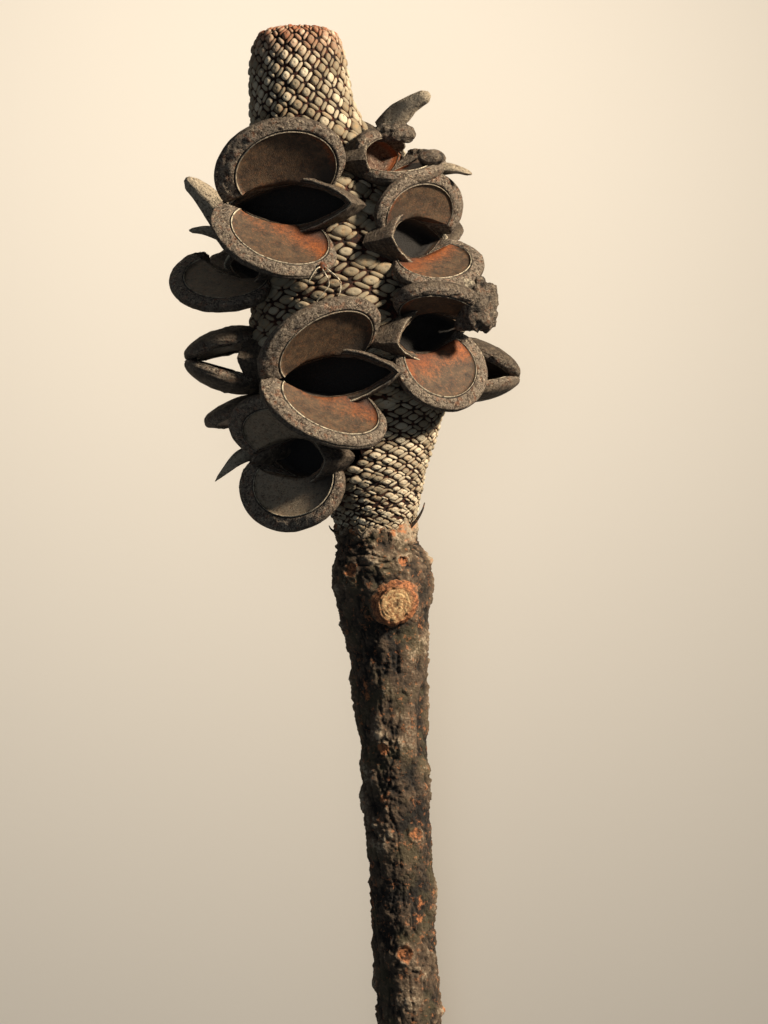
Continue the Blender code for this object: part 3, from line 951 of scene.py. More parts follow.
        # The back, from the edge in
        for t in (0.995, 0.96, 0.91, 0.84, 0.75, 0.64, 0.52, 0.4, 0.27, 0.14):
            lay(out_x * t, middle + (out_y - middle) * t, RIM + BULGE * (1 - t * t) ** 0.7, back=1.0)
        x, y, depth = (np.stack([row[k] for row in rows]) for k in range(3))
        marks = {key: np.array([[row[3].get(key, 0.0)] for row in rows]) * np.ones_like(x)
                 for key in ("lining", "pale", "crack", "back")}
        bend = self.curl * np.maximum(0.0, y / length) ** 2 * (1 if self.up > 0 else -1)
        flat = np.stack([x, y, np.full_like(x, 3.1 * seed)], axis=-1)
        band = (1 - marks["lining"]) * (1 - marks["crack"])
        inner = 1 - marks["back"]
        lump, _, own = cells(flat, 1.25, seed + 30)
        fibre = cloud(np.stack([np.arctan2(y - middle, x) * half * 0.42, np.hypot(x, y - middle) * 1.6,
                                flat[..., 2]], axis=-1), 0.9, seed + 31, 3)
        rough = band * inner * (0.20 * fibre + 0.30 * (lump - 0.55) * own
                                + 0.16 * cloud(flat, 4.0, seed + 1, 2))
        past_line = np.hypot(x - mid_x, y - middle) / np.hypot(in_x - mid_x, in_y - middle) * 8 - 8
        rough = rough * smooth(0.0, 0.9, past_line)
        rough += marks["lining"] * 0.10 * cloud(flat, 5.0, seed + 2, 2)
        rough += marks["back"] * (0.16 * cloud(flat, 2.4, seed + 4, 3) + 0.25 * cloud(flat, 8.0, seed + 6, 1))
        depth = depth + bend + rough
        points = hinge + x[..., None] * across + y[..., None] * reach + depth[..., None] * face
        sign = 1 if upper else -1
        points = self.opened(points, sign)
        high = np.clip(y / length, 0.0, 1.0)
        warm = self.warm_up if upper else self.warm_down
        toward = smooth(-0.6, 0.9, x / half * side)
        mottle = cloud(flat, 4.5, seed + 8, 2) * 0.5 + 0.5
        by_rim = 1 - np.hypot((x - mid_x) / (half * 0.86), (y - middle) / top)
        by_rim = np.exp(-(by_rim / 0.2) ** 2)
        bloom = np.exp(-(high / 0.40) ** 2) * (0.35 if upper else 1.1) + by_rim * (
            1.5 * toward + 0.3 if upper else 0.5 * toward)
        rust = np.clip(warm * bloom * (0.55 + 0.9 * mottle), 0, 1) * marks["lining"]
        # Painted shade: the lining darkens as it goes down into the foot.
        deep = 1 - smooth(-1.5, 3.5, self.local(points)[..., 2])
        cavity = marks["lining"] * deep * 0.9
        start = hinge + across * mid_x + reach * middle + face * (HOLLOW + self.curl * 0.14)
        start = self.opened(start[None], sign)[0]
        end = hinge + reach * middle + face * (RIM + BULGE)
        marks["pale"] = marks["pale"] * (self.line_up if upper else self.line_down) * (1 - 0.6 * toward)
        # The linings carry the follicle's painted light.
        skin.loft(points, start, end, rust=rust, cavity=cavity, bleach=self.painted_light * marks["lining"],
                  **marks)

    def opened(self, points: Array, sign: int) -> Array:
        """Moves what stands in the mouth back to the mouth's wall.

        Args:
            points: Places, (..., 3).
            sign: 1 for the upper valve, whose wall is on the tip's side, and -1 for the lower one.

        Returns:
            The places, clear of the mouth.
        """
        p = self.local(points)
        half = self.width / 2 - 1.2
        wall = self.lens(p[..., 0], half, self.foot_half - 1.9)
        wall = wall * (1 - smooth(5.0, 9.0, p[..., 2]))
        inside = (sign * p[..., 1] < wall) & (np.abs(p[..., 0]) < half) & (p[..., 2] < 9.0)
        return self.world(p[..., 0], np.where(inside, sign * wall, p[..., 1]), p[..., 2])

    def foot(self, skin: Skin) -> None:
        """Adds the foot: a wall with a layered rim, and the mouth inside, darkened with painted shade.

        Args:
            skin: What it is added to.
        """
        n = self.points
        turn = np.linspace(0, 2 * math.pi, n, endpoint=False)
        u = np.cos(turn)
        side = self.side.value
        half = self.width / 2 + FOOT_SPARE
        high = self.foot_half
        in_half = self.width / 2 - 1.6
        in_high = self.foot_half - 2.1
        shape = np.sign(np.sin(turn)) * np.clip(1 - np.abs(u) ** OVAL_FULL, 0, 1) ** OVAL_BLUNT
        rim = 0.6 + RIM_RISE * np.maximum(0.0, u * side) ** 2
        rows = []
        layers = tuple((0.07 * (k % 2) - 0.05, -5.0 + 0.33 * k, k / 13, {"back": 1.0 if k % 2 else 0.6})
                       for k in range(13))
        profile = layers + (
            # Rings marked as cracks are grooves darkened with painted shade.
            (0.0, -0.35, 1.0, {"back": 0.6}), (0.03, 0.08, 1.0, {"back": 0.3}),
            (0.12, 0.24, 1.0, {"pale": 0.15}), (0.19, 0.20, 1.0, {"pale": 0.8}),
            (0.25, 0.05, 1.0, {"pale": 0.5}), (0.30, -0.55, 1.0, {"crack": 1.0}),
            (0.38, -0.50, 1.0, {"back": 0.8}), (0.52, -0.30, 1.0, {"back": 0.6}),
            (0.60, -0.42, 1.0, {"crack": 0.6}), (0.70, -0.70, 1.0, {"lining": 0.7}),
            (0.86, -0.72, 1.0, {"lining": 1.0}), (0.94, -0.68, 1.0, {"pale": 0.2}),
            # The last rings go down into the mouth and are darkened with painted shade.
            (1.0, -1.1, 1.0, {"lining": 1.0, "cavity": 0.5}),
            (1.03, -1.9, 1.0, {"lining": 1.0, "cavity": 0.85}),
            (1.06, -2.9, 0.5, {"cavity": 1.0}), (1.3, -4.2, 0.0, {"cavity": 1.0}),
        )
        for part, drop, with_rim, marks in profile:
            a = half + (in_half - half) * part
            b = high + (in_high - high) * part
            z = rim * with_rim + drop
            rows.append((a * u, b * shape, z, marks))
        x, y, z = (np.stack([np.broadcast_to(row[k], (n,)) for row in rows]) for k in range(3))
        marks = {key: np.array([[row[3].get(key, 0.0)] for row in rows]) * np.ones_like(x)
                 for key in ("lining", "pale", "crack", "back", "cavity")}
        flat = np.stack([x, y, z], axis=-1)
        z = z + 0.13 * cloud(flat, 1.6, self.seed + 9, 3) * (1 - marks["cavity"])
        marks["cavity"] = marks["cavity"] * (1 - 0.75 * self.mouth_rust)
        marks["lining"] = np.maximum(marks["lining"], marks["cavity"] * (self.mouth_rust > 0))
        y = y + 0.22 * cloud(flat, 2.6, self.seed + 10, 3)
        skin.loft(self.world(x, y, z), None, self.world(np.array(0.0), np.array(0.0), np.array(-4.4)),
                  rust=np.maximum(self.mouth_rust, 0.35 * marks["lining"]) * (marks["back"] == 0), **marks)

    def spike(self, skin: Skin, root: tuple[float, ...], tip: tuple[float, ...], wide: float, thick: float,
              blunt: float = 0.1) -> None:
        """Adds what is left of a broken valve: a tapered, split spike.

        Args:
            skin: What it is added to.
            root: Where it starts: across, along and out.
            tip: Where it ends.
            wide: Half its width.
            thick: Half its thickness.
            blunt: Part of its width that is left at the tip.
        """
        a = self.world(*(np.array(float(v)) for v in root))
        b = self.world(*(np.array(float(v)) for v in tip))
        run = b - a
        side = np.cross(run, self.w)
        side /= np.linalg.norm(side)
        flat = np.cross(side, run)
        flat /= np.linalg.norm(flat)
        turn = np.linspace(0, 2 * math.pi, 40, endpoint=False)
        t = np.linspace(0.0, 0.985, 40)[:, None]
        part = (1 - (1 - blunt) * t ** 1.25) * np.interp(t[:, 0], [0.9, 0.985], [1.0, 0.5])[:, None]
        at = a + t[..., None] * run + (0.9 * np.sin(math.pi * t))[..., None] * side
        c, s = np.cos(turn)[None, :], np.sin(turn)[None, :]
        dent = 1 - 0.45 * np.exp(-((c + 0.1) / 0.35) ** 2) * (s > 0)
        probe = np.stack([c * 2.4 + 0 * t, s * 2.4 + 0 * t, t * 3.2 + 0 * c], axis=-1)
        grit = 1 + 0.16 * cloud(probe, 1.2, self.seed + 21, 3)
        rings = at + (wide * part * c * grit)[..., None] * flat
        rings = rings + (thick * part * s * dent * grit)[..., None] * side
        edge = np.exp(-((np.abs(c) - 1) / 0.12) ** 2) * np.ones_like(t)
        hollow = np.exp(-((c + 0.1) / 0.4) ** 2) * (s > 0) * np.ones_like(t)
        # The hollow of the split is darkened with painted shade, less towards the tip.
        skin.loft(rings, rings[0].mean(axis=0), b, pale=0.25 * edge,
                  bleach=smooth(0.0, 0.7, t) * np.ones_like(c), back=0.6 * (1 - hollow),
                  lining=np.zeros_like(edge), crack=0.3 * hollow * (1 - t),
                  cavity=np.zeros_like(edge), rust=np.zeros_like(edge))

    def build(self, finish: bpy.types.Material) -> bpy.types.Object:
        """Makes the follicle and dresses it.

        Args:
            finish: The follicles' material.

        Returns:
            The piece.
        """
        skin = Skin()
        self.foot(skin)
        self.valve(skin, True)
        self.valve(skin, False)
        for spike in self.spikes:
            self.spike(skin, *spike)
        for extra in self.extras:
            extra.add_to(skin)
        obj = skin.build(self.name + "_wood")
        obj.data.materials.append(finish)
        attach(obj, "root")
        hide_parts(self.name)
        return obj


class ConeShape:
    """The spike's surface, from the middle of its tip down to the neck."""

    _shared: "ConeShape | None" = None
    SAMPLES = 1400              # places along the rounded profile
    REACH, BLUR = 24, 9.0       # how many of them are averaged each way, and how wide

    def __init__(self) -> None:
        """Works out the rounded profile and its length along the surface."""
        self.ys, self.middles = eased(CONE_STATIONS, 1, 2.0)
        path = ((114.0, 0.0),) + TIP_PROFILE + tuple((row[0], row[2]) for row in CONE_STATIONS[3:])
        y, r = np.array(path).T
        steps = np.concatenate([[0.0], np.cumsum(np.hypot(np.diff(y), np.diff(r)))])
        self.length = float(steps[-1])
        self.steps = np.linspace(0.0, self.length, self.SAMPLES)
        self.y = self.rounded(np.interp(self.steps, steps, y), 1.0)
        self.r = self.rounded(np.interp(self.steps, steps, r), -1.0)
        pitch = np.interp(self.y, [-4.0, 0.5, 9.0, 19.0, 60.0, 112.0], [1.0, 1.1, 1.45, 1.8, 2.35, 2.5])
        self.phase = np.concatenate([[0.0], np.cumsum(np.diff(self.steps) / pitch[1:])])
        self.fruits: list[Follicle] = []

    def rounded(self, values: Array, mirror: float) -> Array:
        """Averages a row of values that starts at the tip.

        Args:
            values: One for each place along the profile.
            mirror: 1 for a value that is the same on the tip's far side, and -1 for one that changes sign.

        Returns:
            The averaged values.
        """
        reach = self.REACH
        kernel = np.exp(-0.5 * (np.arange(-reach, reach + 1) / self.BLUR) ** 2)
        kernel /= kernel.sum()
        after = 2 * values[-1] - values[-2:-reach - 2:-1]
        return np.convolve(np.concatenate([mirror * values[reach:0:-1], values, after]), kernel, mode="valid")

    @classmethod
    def shared(cls) -> "ConeShape":
        """Gives the one cone that everything sits on.

        Returns:
            The cone, which is worked out the first time.
        """
        if cls._shared is None:
            cls._shared = cls()
        return cls._shared

    def at(self, y: float) -> tuple[float, float]:
        """Reads the cone's stations.

        Args:
            y: Place along the cone.

        Returns:
            The cone's middle and radius there.
        """
        ys = [row[0] for row in CONE_STATIONS][::-1]
        middle = float(np.interp(y, ys, [row[1] for row in CONE_STATIONS][::-1]))
        return middle, float(np.interp(y, ys, [row[2] for row in CONE_STATIONS][::-1]))

    def point(self, step: Array, turn: Array, lift: float = 0.0) -> Array:
        """Places on the surface.

        Args:
            step: Distance down the surface from the tip, mm.
            turn: Angle round the cone from the seen side, in whole turns.
            lift: How far above the surface.

        Returns:
            The places, (..., 3).
        """
        y = np.interp(step, self.steps, self.y)
        r = np.interp(step, self.steps, self.r)
        a = turn * 2 * math.pi
        rise = np.zeros(np.broadcast(y, a).shape)
        for fruit in self.fruits:
            off = (a - math.radians(fruit.around) + math.pi) % (2 * math.pi) - math.pi
            across = off * r / (fruit.width * 0.52)
            rise = np.maximum(rise, np.exp(-(across ** 2 + ((y - fruit.along) / 9.5) ** 2)))
        r = r + SWELL * rise * np.clip((y - NECK) / 10.0, 0, 1) * np.clip(r / 6.0, 0, 1) + lift
        middle = np.interp(y, self.ys, self.middles)
        return np.stack([middle + r * np.sin(a), y + 0 * a, r * np.cos(a)], axis=-1)


@dataclass
class ConeCore:
    """The felted spike between the bracts, open under each follicle's mouth."""

    rows: int = 200
    columns: int = 168
    sink: float = 0.12

    def build(self, finish: bpy.types.Material) -> bpy.types.Object:
        """Makes the core and dresses it.

        Args:
            finish: The core's material.

        Returns:
            The piece.
        """
        cone = ConeShape.shared()
        step = np.linspace(0.4, cone.length, self.rows)[:, None]
        turn = np.linspace(0, 1, self.columns, endpoint=False)[None, :]
        points = cone.point(step + 0 * turn, turn + 0 * step, -self.sink)
        under = np.zeros(points.shape[:2], bool)
        for fruit in cone.fruits:
            under |= fruit.holds(points, -0.9)
        skin = Skin()
        close = points[-1].copy()
        close = close.mean(axis=0) + (close - close.mean(axis=0)) * 0.5
        rings = np.concatenate([points, close[None]])
        skin.loft(rings, cone.point(np.array(0.0), np.array(0.0), 0.0) * [1, 1, 0], None)
        gone = np.concatenate([under.reshape(-1), np.zeros(self.columns + 1, bool)])
        skin.faces = [face for face in skin.faces if not all(gone[k] for k in face)]
        obj = skin.build("cone_core")
        loose = bmesh.new()
        loose.from_mesh(obj.data)
        bmesh.ops.delete(loose, geom=[v for v in loose.verts if not v.link_faces], context="VERTS")
        loose.to_mesh(obj.data)
        loose.free()
        obj.data.materials.append(finish)
        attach(obj, "root")
        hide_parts("cone_body")
        return obj


class BractKind(Enum):
    """The three bracts of one unit of the lattice: middle and size, in parts of the unit."""

    LARGE = (0.31, 0.31, 0.64, 0.64, 1.0)
    RIGHT = (0.805, 0.30, 0.30, 0.78, 0.60)
    TIP = (0.30, 0.805, 0.78, 0.30, 0.60)


@dataclass
class Bracts:
    """The lattice of bracts: slanting rows of rounded scales, placed and raised by nodes."""

    columns: int = 16
    slant: int = 6              # half rows that one turn climbs
    rise: float = 0.72          # how far a large bract stands out, mm
    seed: int = 5

    def field(self, kinds: tuple[BractKind, ...], name: str) -> bpy.types.Object:
        """Lays out one point for each bract, with its own directions as attributes.

        Args:
            kinds: Which bracts of each unit.
            name: The object's name.

        Returns:
            A mesh of loose points.
        """
        cone = ConeShape.shared()
        draw = np.random.default_rng(self.seed)
        last = cone.phase[-1]
        rows = []
        for j in range(0, int(last) + self.slant + 3):
            for i in range(self.columns):
                rows.append(((i + 0.5 * (j % 2)) / self.columns, float(j)))
        base = np.array(rows)

        def place(p: Array, q: Array) -> tuple[Array, Array]:
            """Finds one place inside each unit.

            Args:
                p: Part of the unit's one side.
                q: Part of its other side.

            Returns:
                The points on the cone, and how many rows down each lies.
            """
            turn = base[:, 0] + (p + q) * 0.5 / self.columns
            phase = base[:, 1] + (p - q) - self.slant * turn
            step = np.interp(phase, cone.phase, cone.steps)
            return cone.point(step, turn), phase

        parts = []
        for kind in kinds:
            p, q, wide, long, high = kind.value
            size = draw.uniform(0.93, 1.06, len(base))
            centre, phase = place(np.full(len(base), p), np.full(len(base), q))
            a1, _ = place(np.full(len(base), p + wide / 2), np.full(len(base), q))
            a0, _ = place(np.full(len(base), p - wide / 2), np.full(len(base), q))
            b1, _ = place(np.full(len(base), p), np.full(len(base), q + long / 2))
            b0, _ = place(np.full(len(base), p), np.full(len(base), q - long / 2))
            across, along = a1 - a0, b1 - b0
            out = np.cross(across, along)
            out /= np.linalg.norm(out, axis=1)[:, None] + 1e-9
            area = np.sqrt(np.linalg.norm(np.cross(across, along), axis=1))
            near = np.zeros(len(base))
            for fruit in cone.fruits:
                near = np.maximum(near, fruit.nearness(centre))
            loose = 1 - smooth(3.0, 13.0, centre[:, 1])
            big = 1.0 + 0.42 * near * (kind is BractKind.LARGE) + loose * draw.uniform(-0.25, 0.25, len(base))
            across, along = across * big[:, None], along * big[:, None]
            shuffle = draw.normal(0, 1, (len(base), 2)) * (0.045 + 0.16 * loose)[:, None]
            centre = centre + across * shuffle[:, :1] + along * shuffle[:, 1:]
            lean = draw.normal(0, 1, (len(base), 3)) * (0.2 + 0.22 * loose)[:, None]
            out = out + lean
            out /= np.linalg.norm(out, axis=1)[:, None]
            rise = np.minimum(self.rise * high, 0.40 * area) * draw.uniform(0.7, 1.15, len(base))
            rise = rise * (1 + 0.5 * near)
            keep = (phase > 1.2) & (phase < last + 0.4) & (area > 0.3)
            under = np.zeros(len(base), bool)
            for fruit in cone.fruits:
                under |= fruit.holds(centre, -0.7) | fruit.covers(centre + out * 0.4)
            keep &= ~under
            tint_and_shade = draw.uniform(0, 1, len(base)) * (1.0 if kind is BractKind.LARGE else 0.75)
            # Painted shade: bracts in the middle of the cone, between the follicles, are darker.
            tint_and_shade = tint_and_shade * (1 - 0.55 * np.exp(-((centre[:, 1] - 55.0) / 24.0) ** 2))
            worn = 1 - smooth(5.0, 19.0, np.interp(phase, cone.phase, cone.steps))
            parts.append([v[keep] for v in (centre, across * size[:, None], along * size[:, None],
                                            out * rise[:, None], tint_and_shade, worn)])
        joined = [np.concatenate([part[k] for part in parts]) for k in range(6)]
        mesh = bpy.data.meshes.new(name)
        mesh.from_pydata(joined[0].tolist(), [], [])
        for key, value in zip(("place", "across", "along", "out"), joined[:4]):
            layer = mesh.attributes.new(key, "FLOAT_VECTOR", "POINT")
            layer.data.foreach_set("vector", value.astype(np.float32).reshape(-1))
        for key, value in zip(("tint_and_shade", "worn"), joined[4:]):
            layer = mesh.attributes.new(key, "FLOAT", "POINT")
            layer.data.foreach_set("value", value.astype(np.float32))
        return linked(name, mesh)

    def pad(self, name: str, around: int, levels: tuple[tuple[float, float], ...]) -> bpy.types.Object:
        """One rounded scale, a unit wide and a unit high.

        Args:
            name: The object's name.
            around: How many points round it.
            levels: Part of its width, and height, of each ring from the foot up.

        Returns:
            The pattern object, with its places kept as an attribute.
        """
        turn = np.linspace(0, 2 * math.pi, around, endpoint=False) + math.pi / around
        c, s = np.cos(turn), np.sin(turn)
        reach = 0.5 / (np.abs(c) ** SQUARE + np.abs(s) ** SQUARE) ** (1 / SQUARE)
        verts, crown = [], []
        for part, height in levels:
            verts += [(reach[k] * c[k] * part, reach[k] * s[k] * part, height) for k in range(around)]
            crown += [max(0.0, height)] * around
        eye = levels[-1][0] < 0.2
        verts.append((0.0, 0.0, 0.72 if eye else 1.0))
        crown.append(0.0 if eye else 1.0)
        faces = []
        for j in range(len(levels) - 1):
            for i in range(around):
                k = (i + 1) % around
                faces.append((j * around + i, j * around + k, (j + 1) * around + k, (j + 1) * around + i))
        last = (len(levels) - 1) * around
        faces += [(last + i, last + (i + 1) % around, len(verts) - 1) for i in range(around)]
        mesh = bpy.data.meshes.new(name)
        mesh.from_pydata(verts, [], faces)
        layer = mesh.attributes.new("local", "FLOAT_VECTOR", "POINT")
        layer.data.foreach_set("vector", np.array(verts, np.float32).reshape(-1))
        layer = mesh.attributes.new("crown", "FLOAT", "POINT")
        layer.data.foreach_set("value", np.array(crown, np.float32))
        mesh.shade_smooth()
        return linked(name, mesh)

    def tree(self) -> bpy.types.NodeTree:
        """Builds the node tree that sets one scale on each point and shapes it to the lattice there.

        Returns:
            The tree.
        """
        tree = bpy.data.node_groups.new("bract_lattice", "GeometryNodeTree")
        sockets = (("Geometry", "NodeSocketGeometry"), ("Scale Shape", "NodeSocketObject"),
                   ("Rise", "NodeSocketFloat"), ("Finish", "NodeSocketMaterial"))
        for name, kind in sockets:
            tree.interface.new_socket(name, in_out="INPUT", socket_type=kind)
        tree.interface.new_socket("Geometry", in_out="OUTPUT", socket_type="NodeSocketGeometry")
        given = tree.nodes.new("NodeGroupInput")
        result = tree.nodes.new("NodeGroupOutput")
        shape = tree.nodes.new("GeometryNodeObjectInfo")
        spread = tree.nodes.new("GeometryNodeInstanceOnPoints")
        solid = tree.nodes.new("GeometryNodeRealizeInstances")
        move = tree.nodes.new("GeometryNodeSetPosition")
        dress = tree.nodes.new("GeometryNodeSetMaterial")
        link = tree.links.new
        link(given.outputs["Scale Shape"], shape.inputs["Object"])
        link(given.outputs["Geometry"], spread.inputs["Points"])
        link(shape.outputs["Geometry"], spread.inputs["Instance"])
        link(spread.outputs[0], solid.inputs[0])

        def named(key: str) -> bpy.types.NodeSocket:
            """Reads a vector attribute.

            Args:
                key: Its name.

            Returns:
                Its socket.
            """
            node = tree.nodes.new("GeometryNodeInputNamedAttribute")
            node.data_type = "FLOAT_VECTOR"
            node.inputs["Name"].default_value = key
            return node.outputs["Attribute"]

        def vector(operation: str, first: bpy.types.NodeSocket,
                   second: bpy.types.NodeSocket) -> bpy.types.NodeSocket:
            """Adds a Vector Math node.

            Args:
                operation: What it does.
                first: Its first input.
                second: Its second input, or what it scales by.

            Returns:
                Its result.
            """
            node = tree.nodes.new("ShaderNodeVectorMath")
            node.operation = operation
            link(first, node.inputs[0])
            link(second, node.inputs["Scale"] if operation == "SCALE" else node.inputs[1])
            return node.outputs[0]

        parts = tree.nodes.new("ShaderNodeSeparateXYZ")
        link(named("local"), parts.inputs[0])
        high = tree.nodes.new("ShaderNodeMath")
        high.operation = "MULTIPLY"
        link(parts.outputs[2], high.inputs[0])
        link(given.outputs["Rise"], high.inputs[1])
        total = named("place")
        amounts = {"across": parts.outputs[0], "along": parts.outputs[1], "out": high.outputs[0]}
        for key, amount in amounts.items():
            total = vector("ADD", total, vector("SCALE", named(key), amount))
        link(solid.outputs[0], move.inputs["Geometry"])
        link(total, move.inputs["Position"])
        link(move.outputs[0], dress.inputs["Geometry"])
        link(given.outputs["Finish"], dress.inputs["Material"])
        link(dress.outputs[0], result.inputs[0])
        return tree

    def build(self, finish: bpy.types.Material) -> list[bpy.types.Object]:
        """Makes both pieces of the lattice and dresses them.

        Args:
            finish: The bracts' material.

        Returns:
            The pieces.
        """
        tree = self.tree()
        large = ((1.0, -0.8), (1.0, -0.1), (0.92, 0.36), (0.74, 0.72), (0.45, 0.95), (0.15, 0.98))
        small = ((1.0, -0.8), (0.98, 0.1), (0.80, 0.66))
        plans = (
            ("large_bracts", (BractKind.LARGE,), 16, large),
            ("small_bracts", (BractKind.RIGHT, BractKind.TIP), 12, small),
        )
        pieces = []
        for name, kinds, around, levels in plans:
            pattern = self.pad(name + "_pattern", around, levels)
            points = self.field(kinds, name + "_points")
            modifier = points.modifiers.new("lattice", "NODES")
            modifier.node_group = tree
            sockets = {s.name: s.identifier for s in tree.interface.items_tree
                       if getattr(s, "in_out", "") == "INPUT"}
            modifier[sockets["Scale Shape"]] = pattern
            modifier[sockets["Rise"]] = 1.0
            modifier[sockets["Finish"]] = finish
            graph = bpy.context.evaluated_depsgraph_get()
            mesh = bpy.data.meshes.new_from_object(points.evaluated_get(graph))
            bpy.data.objects.remove(points, do_unlink=True)
            bpy.data.objects.remove(pattern, do_unlink=True)
            mesh.name = name
            co = np.zeros(len(mesh.vertices) * 3, np.float32)
            mesh.vertices.foreach_get("co", co)
            lying = settled(co.reshape(-1, 3).astype(float))
            mesh.vertices.foreach_set("co", lying.reshape(-1).astype(np.float32))
            for key in ("local", "place", "across", "along", "out"):
                if key in mesh.attributes:
                    mesh.attributes.remove(mesh.attributes[key])
            mesh.update()
            obj = linked(name, mesh)
            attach(obj, "root")
            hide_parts("cone_body")
            pieces.append(obj)
        return pieces


# ---- The branch


@dataclass(frozen=True)
class Spot:
    """A mark on the bark: along Y, degrees round, half its length and width, and how strong."""

    along: float
    around: float
    long: float
    wide: float
    amount: float


